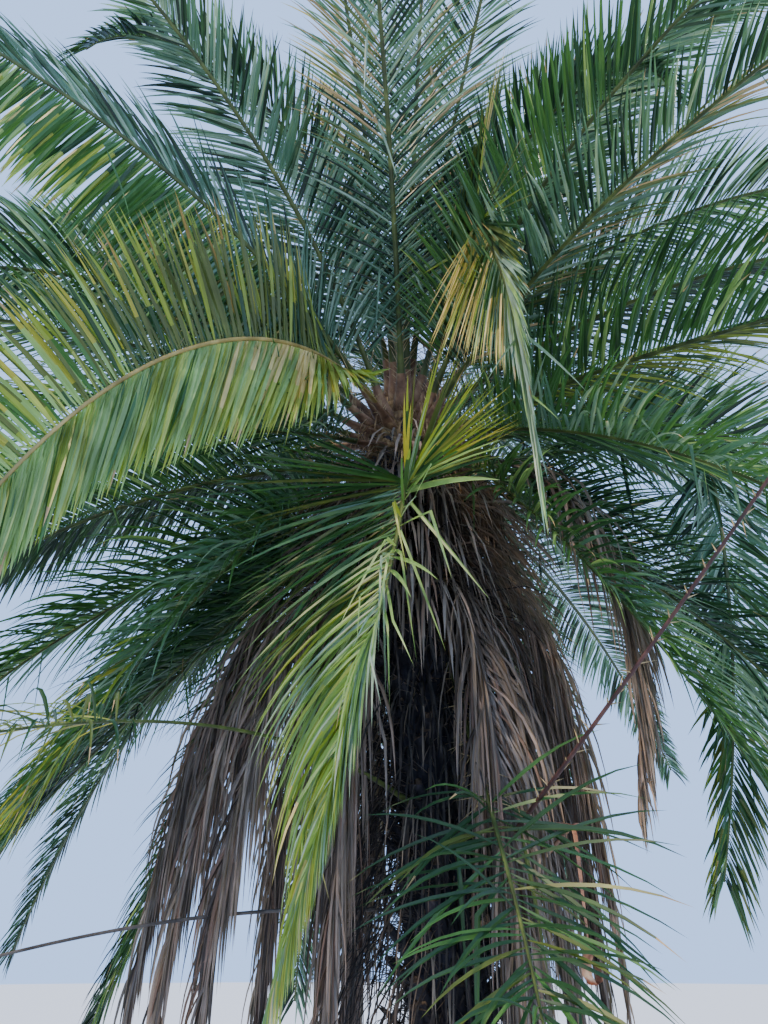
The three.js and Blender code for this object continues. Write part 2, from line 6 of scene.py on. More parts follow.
import bpy
import numpy as np
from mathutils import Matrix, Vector


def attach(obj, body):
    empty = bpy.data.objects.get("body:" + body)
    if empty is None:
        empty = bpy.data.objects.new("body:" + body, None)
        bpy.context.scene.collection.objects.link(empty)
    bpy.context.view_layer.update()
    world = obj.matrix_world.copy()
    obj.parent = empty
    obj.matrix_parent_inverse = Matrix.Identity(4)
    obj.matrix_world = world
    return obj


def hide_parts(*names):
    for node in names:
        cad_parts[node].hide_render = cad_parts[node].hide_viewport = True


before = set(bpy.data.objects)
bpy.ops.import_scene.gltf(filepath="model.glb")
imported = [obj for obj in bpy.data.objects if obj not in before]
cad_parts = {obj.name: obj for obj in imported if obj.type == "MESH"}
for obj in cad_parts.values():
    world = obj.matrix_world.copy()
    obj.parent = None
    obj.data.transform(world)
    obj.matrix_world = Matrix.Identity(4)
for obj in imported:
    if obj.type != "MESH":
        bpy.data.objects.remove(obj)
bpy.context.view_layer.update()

# Trunk and heart, with the sizes of their solids
TRUNK_HEIGHT = 3.45
STEM_RADIUS = 0.122
FLARE_RADIUS = 0.25
FLARE_HEIGHT = 0.19
CROWN_RADIUS = 0.17
CROWN_FROM = 2.1
CROWN_FULL = 3.0
LEAN_REACH = -0.13
LEAN_HEIGHT = 3.6
HEART_HEIGHT = 0.45
HEART_TIP_RADIUS = 0.045
GOLDEN_ANGLE = 137.508

# Frond rule, the same as the solids follow
SPINE_STEPS = 48
RIB_WIDTH_ROOT = 0.044
RIB_WIDTH_BLADE = 0.024
RIB_WIDTH_TIP = 0.008
BARE_WIDTH_ROOT = 0.038
BARE_WIDTH_TIP = 0.015
RIB_DEPTH_RATIO = 0.5
LEAFLET_REACH = 0.5
LEAFLET_ANGLE_ROOT = 62
LEAFLET_ANGLE_TIP = 30
LEAFLET_ANGLE_LEAST = 4
LEAFLET_LIFT = 22
LIMP_STEPS = 3
FOLD_SPAN = 0.1
ROLL_SPAN = 0.3

# One seed for each dressing, so that every run grows the same palm
SEEDS = {"stubs": 7, "fibres": 11, "spears": 19, "loose": 23, "fronds": 41, "low_ribs": 43}
DOWN = np.array([0, 0, -1])


def smooth(low, high, value):
    share = np.clip((value - low) / (high - low), 0, 1)
    return share * share * (3 - 2 * share)


def unit(vectors):
    return vectors / np.maximum(np.linalg.norm(vectors, axis=-1, keepdims=True), 1e-9)


def between(pair, share):
    return pair[0] + (pair[1] - pair[0]) * share


def direction(heading, rise):
    heading, rise = np.broadcast_arrays(np.radians(heading), np.radians(rise))
    return np.stack([np.cos(rise) * np.cos(heading), np.cos(rise) * np.sin(heading), np.sin(rise)], axis=-1)


def axis_at(height):
    """The middle of the leaning trunk at some height."""
    height = np.asarray(height, float)
    share = height / LEAN_HEIGHT
    return np.stack([LEAN_REACH * share**2, np.zeros_like(height), height], axis=-1)


def stem_radius(height):
    """Girth of the trunk and of the heart on its tip."""
    height = np.asarray(height, float)
    flare = (FLARE_RADIUS - STEM_RADIUS) * np.exp(-height / FLARE_HEIGHT)
    stem = STEM_RADIUS + flare + (CROWN_RADIUS - STEM_RADIUS) * smooth(CROWN_FROM, CROWN_FULL, height)
    share = np.clip((height - TRUNK_HEIGHT) / HEART_HEIGHT, 0, 1)
    heart = CROWN_RADIUS + (HEART_TIP_RADIUS - CROWN_RADIUS) * share**2
    return np.where(height <= TRUNK_HEIGHT, stem, heart)


def on_stem(height, heading, out=0):
    """Places on the trunk's skin, or so far out of it."""
    return axis_at(height) + direction(heading, 0) * np.asarray(stem_radius(height) + out)[..., None]


def placed(name, data):
    made = bpy.data.objects.new(name, data)
    bpy.context.scene.collection.objects.link(made)
    return made


def settle(made, slot, *nodes):
    """A finished piece rides on the tree and stands for its solids."""
    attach(made, "root")
    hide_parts(*nodes)


class Pile:
    """Many small things that make one mesh."""

    def __init__(self, name, materials):
        self.name = name
        self.materials = materials
        self.things = []
        self.count = 0

    def add(self, points, faces, slots, across=None):
        """More things. Across tells edge from keel."""
        points, faces = points.reshape(-1, 3), faces.reshape(-1, 3)
        across = np.zeros(len(points)) if across is None else across.ravel()
        self.things.append((points, faces + self.count, np.broadcast_to(slots, len(faces)), across))
        self.count += len(points)

    def add_alike(self, corners, faces, slots, across=None):
        """Things with the same faces, by the places of each corner."""
        count = len(corners[0])
        first = (np.arange(count) * len(corners))[:, None, None]
        slots = np.broadcast_to(slots, (count, len(faces))).ravel()
        self.add(np.stack(corners, axis=1), first + faces, slots, across)

    def build(self, slot, *nodes):
        points, faces, slots, across = (np.concatenate(column) for column in zip(*self.things))
        mesh = bpy.data.meshes.new(self.name)
        mesh.from_pydata(points, [], faces, shade_flat=False)
        mesh.polygons.foreach_set("material_index", slots.astype(np.int32))
        for material in self.materials:
            mesh.materials.append(material)
        marks = mesh.attributes.new("across", "FLOAT", "POINT")
        marks.data.foreach_set("value", across.astype(np.float32))
        mesh.validate()
        settle(placed(self.name, mesh), slot, *nodes)


# Leaf colours, and how much of each a mix is dealt. Some mixes paint sunlight or shade on stretches of
# leaflets: those named for it, and those marked below.
LEAF_COLOURS = {
    "deep": "#18302a",
    "green": "#2c4d33",
    "leaf": "#46703f",
    "cool": "#567a69",
    "mist": "#8aa497",
    "olive": "#5b6838",
    "fresh": "#84953a",
    "pale": "#8dab6c",
    "lime": "#a9b45c",
    "straw": "#cfbd80",
    "tan": "#a9926e",
    "orange": "#94793f",
    "gold": "#a3a045",
    "taupe": "#71665f",
    "grey": "#8b827e",
    "ash": "#99867b",
    "rust": "#7a6257",
    "umber": "#453c39",
}
LEAF_NAMES = list(LEAF_COLOURS)
MIXES = {
    "shade": {"deep": 7, "green": 2, "cool": 1},
    "green": {"green": 6, "deep": 4},
    "cool": {"cool": 5, "deep": 2, "green": 1, "mist": 2},
    "warm": {"tan": 2, "olive": 3, "cool": 3, "mist": 1, "green": 1},
    "blue": {"cool": 4, "mist": 2, "green": 2, "deep": 2},
    "olive": {"olive": 5, "green": 4, "cool": 1},
    "sun": {"fresh": 4, "olive": 4, "green": 2},
    "gilt": {"fresh": 5, "gold": 3, "olive": 2},
    "tipped": {"fresh": 3, "gold": 3, "orange": 1, "olive": 4},
    "under": {"olive": 5, "green": 5},
    "bronze": {"olive": 7, "fresh": 1, "green": 2},
    "silver": {"mist": 8, "pale": 2},
    "dusk": {"green": 7, "olive": 2, "leaf": 2},
    "bright": {"fresh": 4, "green": 3, "olive": 3},
    "fan": {"leaf": 5, "green": 2, "cool": 1, "olive": 2},
    "teal": {"cool": 5, "leaf": 4, "mist": 1},
    "leafy": {"leaf": 5, "green": 3, "cool": 1, "pale": 1},
    "lit": {"olive": 5, "green": 4, "fresh": 1},
    "ribbon": {"pale": 6, "mist": 3, "fresh": 1},
    # Pale lime that paints sunlight on leaflets: round the sunlit straw patch and on the hanging ribbon tips
    "bleached": {"lime": 5, "pale": 4, "straw": 1},
    "pale": {"pale": 6, "fresh": 1, "lime": 2, "leaf": 1},
    # Straw yellow that paints sunlight: the sunlit patch at the arching frond's foot and the folded frond's
    # fan
    "faded": {"straw": 7, "lime": 3},
    "mixed": {"green": 5, "deep": 4, "cool": 1},
    "dry": {"taupe": 4, "grey": 1, "ash": 4, "rust": 1, "umber": 1},
    "brush": {"umber": 6, "taupe": 3, "grey": 1},
    # Straw and tan slats among cool green ones: painted highlights on the upper fronds
    "slats": {"straw": 4, "tan": 2, "cool": 3, "olive": 1},
    "rusty": {"taupe": 4, "grey": 4, "ash": 2, "rust": 1},
}

# Leaflets: roughness and light let through, and place in the blotches and brightness of each tone.
# The blotches are partly the leaf's own uneven tone and partly painted dappled light: the darkest
# tone is painted shade, and the brightest a painted sunlit spot, warmed by a painted sun colour.
DRY_LEAVES = {"taupe", "grey", "ash", "rust", "umber", "tan", "straw"}
DRY_FINISH = (0.62, 0.2)
FRESH_FINISH = (0.38, 0.32)
BLOTCH_AND_DAPPLE_SCALE = 9.0
LEAF_TONES_AND_PAINTED_DAPPLE = ((0.3, 0.68), (0.5, 1.0), (0.62, 1.15), (0.74, 1.5))
PAINTED_SUN_SHARE = 0.35
# Warm colours of painted sunlight, added to the brightest tone of dry and of green leaflets
PAINTED_SUN_DRY = "#a29187"
PAINTED_SUN_GREEN = "#7f8a3e"
KEEL = Values(width=0.28, strength=0.35, brightness=1.7, paleness=0.03)
THROUGH_TINT = np.array([1.5, 1.6, 0.8])
THROUGH_PALENESS = np.array([0.01, 0.02, 0])

# Bark, fibre and ribs: three tones, blotch scale, roughness, relief scale and depth
HARD_FINISHES = {
    # Bark and stub tones are navy-black: partly the bark's own dark colour, partly painted shade of the
    # crown
    "bark_dark": (("#10121d", "#222533", "#42424f"), 26, 0.92, 90, 0.01),
    "stub_wood": (("#11131d", "#25252f", "#48444c"), 30, 0.88, 120, 0.006),
    "stub_broken_end": (("#2c2522", "#51443a", "#7b6b58"), 60, 0.9, 160, 0.006),
    "fibre_brown": (("#5a4330", "#927650", "#bda77c"), 45, 0.85, 200, 0.002),
    "fibre_dark": (("#17161a", "#2f2b2b", "#4e4743"), 45, 0.9, 200, 0.002),
    "rib_green": (("#2f3a22", "#4a592c", "#6c7a3f"), 18, 0.45, 120, 0.002),
    "rib_gold": (("#7d6d3a", "#a18d50", "#bda868"), 18, 0.45, 120, 0.002),
    "rib_base": (("#513b2f", "#876750", "#b59a76"), 24, 0.6, 120, 0.003),
    "rib_dry": (("#3d3632", "#5b524d", "#787068"), 22, 0.85, 140, 0.003),
    "rib_red": (("#2a1a1b", "#462a29", "#64423a"), 22, 0.6, 120, 0.003),
    "rib_grey": (("#363231", "#4f4a47", "#6c6662"), 22, 0.85, 140, 0.003),
    "cut_face": (("#b5633a", "#dd8a58", "#e8b184"), 80, 0.8, 220, 0.003),
    "spine_dark": (("#3b3532", "#6b6159", "#988b7b"), 12, 0.7, 200, 0.001),
    "peeled_skin": (("#7d5547", "#b98d75", "#d9c2a8"), 30, 0.75, 160, 0.002),
    "spine_pale": (("#85754f", "#a8966d", "#c4b690"), 40, 0.5, 200, 0.001),
}
TONE_PLACES = (0.3, 0.52, 0.72)
GRAIN_STRETCH = (1, 1, 0.35)
RELIEF_STRENGTH = 0.7


def linear(colour):
    """A hex colour as the linear values that a shader takes."""
    parts = [int(colour[i:i + 2], 16) / 255 for i in (1, 3, 5)]
    return [p / 12.92 if p <= 0.04045 else ((p + 0.055) / 1.055) ** 2.4 for p in parts]


def new_material(name):
    material = bpy.data.materials.new(name)
    material.use_nodes = True
    tree = material.node_tree
    return material, tree, tree.nodes["Principled BSDF"]


def plug(tree, node, values):
    """Gives a node's inputs plain values or links."""
    for name, value in values.items():
        if isinstance(value, bpy.types.NodeSocket):
            tree.links.new(value, node.inputs[name])
        else:
            node.inputs[name].default_value = value


def add_node(tree, kind, values, **settings):
    node = tree.nodes.new(f"ShaderNode{kind}")
    for name, value in settings.items():
        setattr(node, name, value)
    plug(tree, node, values)
    return node


def noise(tree, scale, detail, place):
    return add_node(tree, "TexNoise", {"Scale": scale, "Detail": detail, "Vector": place}).outputs["Fac"]


def object_place(tree):
    return add_node(tree, "TexCoord", {}).outputs["Object"]


def colour_ramp(tree, value, stops):
    ramp = add_node(tree, "ValToRGB", {"Fac": value})
    elements = ramp.color_ramp.elements
    while len(elements) < len(stops):
        elements.new(0.5)
    for element, (place, colour) in zip(elements, stops):
        element.position = place
        element.color = (*colour, 1)
    return ramp.outputs["Color"]


def pale_keel(tree, tone, base):
    """A tone, paler along the keel, where the across attribute is nil."""
    across = add_node(tree, "Attribute", {}, attribute_name="across")
    edge = add_node(tree, "Math", {0: across.outputs["Fac"]}, operation="ABSOLUTE")
    keel = add_node(tree, "MapRange", {"Value": edge.outputs[0], "From Max": KEEL.width,
                                       "To Min": KEEL.strength, "To Max": 0.0})
    pale = (*np.minimum(base * KEEL.brightness + KEEL.paleness, 1), 1)
    mix = add_node(tree, "Mix", {}, data_type="RGBA")
    plug(tree, mix, {"Factor": keel.outputs["Result"], "A": tone, "B": pale})
    return mix.outputs["Result"]


def leaf_material(name, colour):
    """A leathery leaflet: its own uneven tone with blotches of painted shade and painted sunlit spots, a
    pale keel, gloss and light that shows through.
    """
    dry = name in DRY_LEAVES
    roughness, light_through = DRY_FINISH if dry else FRESH_FINISH
    material, tree, shader = new_material(f"leaf_{name}")
    base = np.array(linear(colour))
    tones = [(place, base * brightness) for place, brightness in LEAF_TONES_AND_PAINTED_DAPPLE]
    # The brightest tone is a painted sunlit spot: the leaf colour made brighter and warmed with painted sun
    place, lit = tones.pop()
    lit = np.minimum(lit + np.array(linear(PAINTED_SUN_DRY if dry else PAINTED_SUN_GREEN)) * PAINTED_SUN_SHARE, 1)
    tone = colour_ramp(tree, noise(tree, BLOTCH_AND_DAPPLE_SCALE, 3.0, object_place(tree)), [*tones, (place, lit)])
    plug(tree, shader, {"Base Color": pale_keel(tree, tone, base), "Roughness": roughness,
                        "Specular IOR Level": 0.5})
    tint = (*np.clip(base * THROUGH_TINT + THROUGH_PALENESS, 0, 1), 1)
    through = add_node(tree, "BsdfTranslucent", {"Color": tint})
    both = add_node(tree, "MixShader", {"Fac": light_through, 1: shader.outputs["BSDF"],
                                        2: through.outputs["BSDF"]})
    plug(tree, tree.nodes["Material Output"], {"Surface": both.outputs["Shader"]})
    return material


def hard_material(name, colours, scale, roughness, relief_scale, relief_depth):
    """Bark, fibre or rib: three tones blotched along the grain, with a fine relief."""
    material, tree, shader = new_material(name)
    place = object_place(tree)
    grain = add_node(tree, "Mapping", {"Vector": place, "Scale": GRAIN_STRETCH}).outputs["Vector"]
    tones = [(where, linear(colour)) for where, colour in zip(TONE_PLACES, colours)]
    relief = add_node(tree, "Bump", {"Strength": RELIEF_STRENGTH, "Distance": relief_depth,
                                     "Height": noise(tree, relief_scale, 6.0, grain)})
    plug(tree, shader, {"Base Color": colour_ramp(tree, noise(tree, scale, 5.0, grain), tones),
                        "Roughness": roughness, "Normal": relief.outputs["Normal"]})
    return material


leaf_materials = [leaf_material(name, colour) for name, colour in LEAF_COLOURS.items()]
hard = {name: hard_material(name, *finish) for name, finish in HARD_FINISHES.items()}
RIB_FINISHES = ("rib_green", "rib_gold", "rib_base", "rib_dry", "rib_red", "rib_grey", "cut_face")
GREEN_RIB, GOLD_RIB, BASE_RIB, DRY_RIB, RED_RIB, GREY_RIB, CUT_RIB = range(len(RIB_FINISHES))
rib_materials = [hard[name] for name in RIB_FINISHES]


def dealt(mix, count, rng):
    """Slots of leaf materials, dealt from a mix."""
    slots = [LEAF_NAMES.index(name) for name in MIXES[mix]]
    chances = np.array([*MIXES[mix].values()])
    return rng.choice(slots, count, p=chances / chances.sum())


# What a live frond has unless it says otherwise. Bend: how late its rib droops. Fold: where the rib breaks
# and by how much. Limp: at the blade's foot and tip. Broken, tips: shares of kinked ones and of dry tips.
# From splay to furled: one value, or a left and a right. Lost: from, to and chance, on the left side.
# Held: up to where leaflets stand as if the rib had no fold.
LIVE = {
    "stalk": 0.12, "girth": 1.0, "bare": False, "bend": 1.0, "swing": 0.0, "roll": 0.0, "fold": None,
    "limp": (0.28, 0.28), "lift": LEAFLET_LIFT, "wild": 1, "cluster": 1, "keel": 33, "twist": 16,
    "broken": 0.02, "tips": 0.06, "splay": 0, "gather": 0, "scale": 1.0, "pitch": 0.0105, "width": 0.0165,
    "furled": 0, "lost": None, "held": 0,
}
SLIM = {**LIVE, "pitch": 0.014, "width": 0.013}
SAGGING = {**LIVE, "limp": (0.4, 0.8), "scale": 1.25}
DEAD = {
    **LIVE, "stalk": 0.22, "bend": 0.3, "limp": (2.5, 2.5), "wild": 3, "keel": 40, "twist": 50,
    "broken": 0.1, "tips": 0, "splay": -30, "scale": 1.2, "pitch": 0.0095, "width": 0.0155,
}
STALK = {
    **LIVE, "stalk": 0.62, "limp": (0.9, 0.9), "keel": 30, "twist": 14, "broken": 0.0, "scale": 0.7,
    "pitch": 0.018, "width": 0.010,
}
SPEAR = {
    **LIVE, "stalk": 0.02, "limp": (0, 0), "keel": 60, "twist": 30, "broken": 0, "tips": 0.1, "splay": -57,
    "scale": 0.85, "pitch": 0.012, "width": 0.016,
}
BARE = {**LIVE, "bare": True}

# Ends of the names of a frond's two solids, where it is split at its bend
TIPPED = ("", "_tip")


def frond(name, height, facing, rise, droop, length, left="mixed", right="mixed", kind=LIVE,
          ends=("",), **own):
    """A frond or rib that leaves the trunk at a height, heading and rise, and droops along its length.

    Left and right are mixes, or bands of them: start, inner mix and, where it has one, outer mix. Ends are
    those of its solids' names: none where it is fused with a neighbour.
    """
    made = Values(name=name, height=height, facing=facing, rise=rise, droop=droop, length=length,
                  mixes=(left, right), nodes=[name + end for end in ends], **{**kind, **own})
    made.spine = rib_spine(made)
    return made


def of_side(values, side):
    """One side's value, shared or of a pair."""
    return np.broadcast_to(values, 2)[(side + 1) // 2]


def rib_direction(piece, share):
    share = np.maximum(np.asarray(share, float), 0)
    rise = piece.rise - piece.droop * share**piece.bend
    if piece.fold:
        at, drop = piece.fold
        rise = rise - drop * smooth(at, at + FOLD_SPAN, share)
    return direction(piece.facing + piece.swing * share, rise)


def rib_spine(piece):
    """The line of a rib from its seat on the stem, step by step."""
    seat = on_stem(piece.height, piece.facing)
    steps = rib_direction(piece, (np.arange(SPINE_STEPS) + 0.5) / SPINE_STEPS)
    walked = np.cumsum(steps * piece.length / SPINE_STEPS, axis=0)
    return np.vstack([seat, seat + walked])


def rib_frames(piece, share):
    """Points of the rib at some shares of its length, with its along, across and up directions."""
    share = np.asarray(share, float)
    place = np.clip(share, 0, 1) * SPINE_STEPS
    step = np.minimum(place.astype(int), SPINE_STEPS - 1)
    part = (place - step)[:, None]
    point = piece.spine[step] * (1 - part) + piece.spine[step + 1] * part
    along = rib_direction(piece, share)
    point = point + along * np.minimum(share, 0)[:, None] * piece.length
    heading = np.radians(piece.facing + piece.swing * share)
    level = np.stack([np.sin(heading), -np.cos(heading), np.zeros_like(heading)], axis=-1)
    roll = (math.radians(piece.roll) * np.clip(share / ROLL_SPAN, 0, 1))[:, None]
    across = level * np.cos(roll) + np.cross(level, along) * np.sin(roll)
    return point, along, across, np.cross(across, along)


def leaning(frames, side, angle, lift):
    """Headings that leave the rib to one side at some angles, lifted over the blade."""
    along, across, up = frames
    heading = along * np.cos(angle) + across * np.sin(angle) * np.cos(lift) * side
    return heading + up * np.sin(angle) * np.sin(lift)


def rib_width(piece, share):
    if piece.bare:
        return between((BARE_WIDTH_ROOT, BARE_WIDTH_TIP), np.clip(share, 0, 1)) * piece.girth
    stalk = np.clip(share / piece.stalk, 0, 1)
    blade = np.clip((share - piece.stalk) / (1 - piece.stalk), 0, 1)
    width = between((RIB_WIDTH_ROOT, RIB_WIDTH_BLADE), stalk)
    return (width + (RIB_WIDTH_TIP - RIB_WIDTH_BLADE) * blade) * piece.girth


# How leaflets stray from the rule, by least and most or by spread
STRAY = Values(place=0.3, reach=(0.9, 1.03), width=(0.8, 1.12), limp=(0.75, 1.25), angle=3.5,
               lift=4, kink=0.25, band=0.05)

# How their reach swells and shrinks along the blade
SWELL = Values(pace=1.1, power=0.6, foot=0.55, shrink=0.45)

# Their lifts in clusters of three, and what furled, few and short ones have
CLUSTER_LIFTS = np.array([-20, 2, 22])
CLUSTER_FADE = 0.6
FURLED_SHARE = 0.25
FURLED_SPAN = 0.04
FEW = Values(kinked=0.6, width=0.75, limp=0.3)
PLAIN_WIDTH = 0.7
WIDTH_BY_REACH = 0.3

# Their seat as a share of the rib's width, and the width of each section
LEAFLET_SEAT = 0.45
SECTION_WIDTHS = (0.36, 0.88, 1.0, 0.92, 0.72, 0.42)
SECTIONS = len(SECTION_WIDTHS)


def leaflet_places(piece, side, rng):
    """Shares of the blade where leaflets stand, and which are the few among lost ones."""
    count = int(piece.length * (1 - piece.stalk) / of_side(piece.pitch, side))
    blade = (np.arange(count) + 0.5 + rng.uniform(-STRAY.place, STRAY.place, count)) / count
    few = np.zeros(count, bool)
    if piece.lost and side < 0:
        start, stop, chance = piece.lost
        few = (blade > start) & (blade < stop)
        kept = ~few | (rng.random(count) > chance)
        blade, few = blade[kept], few[kept]
    return blade, few


def leaflet_reach(piece, side, blade, rng):
    swell = np.sin(np.pi * np.minimum(1, blade * SWELL.pace) ** SWELL.power)
    reach = LEAFLET_REACH * of_side(piece.scale, side) * between((SWELL.foot, 1), swell)
    return reach * (1 - SWELL.shrink * blade) * rng.uniform(*STRAY.reach, len(blade))


def leaflet_spread(piece, side, blade, rng):
    """Angles to the rib and lifts over the blade, in radians."""
    count = len(blade)
    furled = of_side(piece.furled, side)
    angle = between((LEAFLET_ANGLE_ROOT, LEAFLET_ANGLE_TIP), blade)
    angle = angle + of_side(piece.splay, side) - of_side(piece.gather, side) * blade**2
    angle = angle + rng.normal(0, STRAY.angle * piece.wild, count)
    opening = smooth(furled - FURLED_SPAN, furled + FURLED_SPAN, blade) if furled else 1
    angle = np.maximum(angle * between((FURLED_SHARE, 1), opening), LEAFLET_ANGLE_LEAST)
    cluster = CLUSTER_LIFTS[np.arange(count) % 3] * (1 - CLUSTER_FADE * blade) * piece.cluster
    lift = piece.lift + cluster + rng.normal(0, STRAY.lift * piece.wild, count)
    return np.radians(angle)[:, None], np.radians(lift)[:, None]


def leaflet_corners(piece, side, blade, few, place, heading, up, reach, rng):
    """Corners of strips folded along their keel, four a section, and which corners are edges."""
    count = len(blade)
    twist = np.radians(rng.normal(0, piece.twist, count))[:, None]
    width = of_side(piece.width, side) * rng.uniform(*STRAY.width, count)
    width = width * (PLAIN_WIDTH + WIDTH_BY_REACH * reach / LEAFLET_REACH) * np.where(few, FEW.width, 1)
    limp = between(piece.limp, blade**2) * rng.uniform(*STRAY.limp, count) * np.where(few, FEW.limp, 1)
    is_kinked = rng.random(count) < np.where(few, FEW.kinked, piece.broken)
    kink = np.where(is_kinked, rng.integers(1, SECTIONS - 1, count), SECTIONS)
    kinked = unit(DOWN + rng.normal(0, STRAY.kink, (count, 3)))
    keel = math.radians(piece.keel)
    corners = []
    for j in range(SECTIONS):
        face_up = unit(up - heading * np.sum(up * heading, axis=1, keepdims=True))
        width_way = np.cross(heading, face_up) * np.cos(twist) + face_up * np.sin(twist)
        half = (width * SECTION_WIDTHS[j] / 2)[:, None]
        edge_rise = np.cross(width_way, heading) * half * math.sin(keel)
        edge_out = width_way * half * math.cos(keel)
        corners += [place - edge_out + edge_rise, place, place, place + edge_out + edge_rise]
        heading = np.where((kink == j)[:, None], kinked, heading)
        heading[:, 2] -= LIMP_STEPS * limp / SECTIONS**2 * (j + 0.5)
        heading = unit(heading)
        place = place + heading * (reach / SECTIONS)[:, None]
    return [*corners, place], np.tile([-1, 0, 0, 1] * SECTIONS + [0], (count, 1))


def ribbon_faces(sections, ribbons=1):
    """Triangles of ribbons side by side, two corners each a section, that end in one tip corner."""
    row = ribbons * 2
    last = (sections - 1) * row
    faces = []
    for a in range(0, last, 2):
        faces += [(a, a + 1, a + 1 + row), (a, a + 1 + row, a + row)]
    faces += [(a, a + 1, last + row) for a in range(last, last + row, 2)]
    return np.array(faces)


def leaflet_slots(piece, side, blade, triangles, rng):
    """Colours of the triangles: a band's inner mix, then its outer one, and dry tips."""
    count = len(blade)
    mix = piece.mixes[(side + 1) // 2]
    inner = np.zeros(count, int)
    outer = np.zeros(count, int)
    for start, *mixes in mix if isinstance(mix, list) else [(0, mix)]:
        late = blade + rng.normal(0, STRAY.band, count) * (start > 0) > start
        inner = np.where(late, dealt(mixes[0], count, rng), inner)
        outer = np.where(late, dealt(mixes[1], count, rng) if len(mixes) > 1 else inner, outer)
    section = np.minimum(np.arange(triangles) // 4, SECTIONS - 1)[None, :]
    turns = rng.integers(1, SECTIONS, count)[:, None]
    slots = np.where(section >= turns, outer[:, None], inner[:, None])
    dry_tip = rng.random(count) < piece.tips
    slots[dry_tip, triangles - 2:] = LEAF_NAMES.index("tan")
    return slots


def grow_leaflets(pile, piece, rng):
    """The leaflets of a frond, by the rule that the solids follow, at their real number."""
    faces = ribbon_faces(SECTIONS, 2)
    for side in (-1, 1):
        blade, few = leaflet_places(piece, side, rng)
        share = piece.stalk + (1 - piece.stalk) * blade
        point, *frames = rib_frames(piece, share)
        if piece.held:
            before = np.where(blade < piece.held, np.minimum(share, piece.fold[0]), share)
            _, *frames = rib_frames(piece, before)
        reach = leaflet_reach(piece, side, blade, rng)
        heading = leaning(frames, side, *leaflet_spread(piece, side, blade, rng))
        _, across, up = frames
        seat = point + across * side * rib_width(piece, share)[:, None] * LEAFLET_SEAT
        corners, edges = leaflet_corners(piece, side, blade, few, seat, heading, up, reach, rng)
        pile.add_alike(corners, faces, leaflet_slots(piece, side, blade, len(faces), rng), edges)


# A rib as a tube, plumper than the solid's flat bar, with a sheath at its sunken foot
TUBE = Values(rings=44, sides=8, crowding=1.15, sunk=-0.02, plumpness=1.25)
SHEATH = Values(flare=1.1, fade=0.08, length=0.13)
CUT_ENDS = ("rib_cut_stump",)


def tube_faces(rings, sides):
    """Triangles of a tube's wall, and then of its two ends."""
    faces = []
    for i in range(rings - 1):
        for j in range(sides):
            a, b = i * sides + j, i * sides + (j + 1) % sides
            faces += [(a, b, b + sides), (a, b + sides, a + sides)]
    last = (rings - 1) * sides
    for j in range(1, sides - 1):
        faces.append((0, j + 1, j))
        faces.append((last, last + j, last + j + 1))
    return np.array(faces)


def grow_rib(pile, piece, foot_slot, slot):
    """A rib as a flat tapering tube with a sheathing foot."""
    share = np.linspace(0, 1, TUBE.rings) ** TUBE.crowding
    share[0] = TUBE.sunk
    point, _, across, up = rib_frames(piece, share)
    half = rib_width(piece, share) / 2
    from_foot = np.maximum(share, 0) * piece.length
    foot = 1 + SHEATH.flare * np.exp(-from_foot / SHEATH.fade)
    turn = np.linspace(0, 2 * np.pi, TUBE.sides, endpoint=False)
    out = across[:, None] * np.cos(turn)[None, :, None] * (half * foot)[:, None, None]
    thick = half * RIB_DEPTH_RATIO * TUBE.plumpness
    lift = up[:, None] * np.sin(turn)[None, :, None] * thick[:, None, None]
    faces = tube_faces(TUBE.rings, TUBE.sides)
    ring_slots = np.where(from_foot < SHEATH.length, foot_slot, slot)
    slots = np.repeat(ring_slots[:-1], TUBE.sides * 2)
    caps = np.full(len(faces) - len(slots), CUT_RIB if piece.name in CUT_ENDS else slot)
    pile.add(point[:, None] + out + lift, faces, np.concatenate([slots, caps]))


# Thorns in pairs: least and most of their length, middle and spread of lean and tilt
THORN = Values(stray=0.3, grown=(0.7, 1.2), lean=(48, 12), tilt=(18, 28), seat=0.42, radius=0.0028)

# Start, end, pitch and lengths along a stalk, past its first leaflets, and along a bare rib
STALK_THORNS = Values(start=0.035, past=0.02, pitch=0.02, lengths=(0.03, 0.13))
RIB_THORNS = (0.1, 0.98, 0.07, (0.05, 0.025))

# Slants that no spike or strand runs along, to set out their sides from
SPIKE_SLANT = np.array([0.31, 0.17, 0.93])
STRAND_SLANT = np.array([0.23, 0.41, 0.88])

# Half of a strand's width, and less at its foot
STRAND_HALF = 0.5
STRAND_FOOT = 0.3


def add_spikes(pile, root, heading, length, radius, slot):
    """Three-sided spikes from their roots."""
    side = unit(np.cross(heading, SPIKE_SLANT))
    other = np.cross(heading, side)
    corners = []
    for turn in (0, 2 * math.pi / 3, 4 * math.pi / 3):
        corners.append(root + (side * math.cos(turn) + other * math.sin(turn)) * radius)
    pile.add_alike([*corners, root + heading * length], np.array([(0, 1, 3), (1, 2, 3), (2, 0, 3)]), slot)


def add_strands(pile, root, heading, length, width, turn, slots, sections):
    """Thin ribbons that start one way and turn down as they go on."""
    side = unit(np.cross(heading, STRAND_SLANT))
    corners = []
    place = root
    for j in range(sections):
        half = side * width * (STRAND_HALF if j else STRAND_FOOT)
        corners += [place - half, place + half]
        place = place + heading * length / sections
        heading = unit(heading + DOWN * turn)
    pile.add_alike([*corners, place], ribbon_faces(sections), slots)


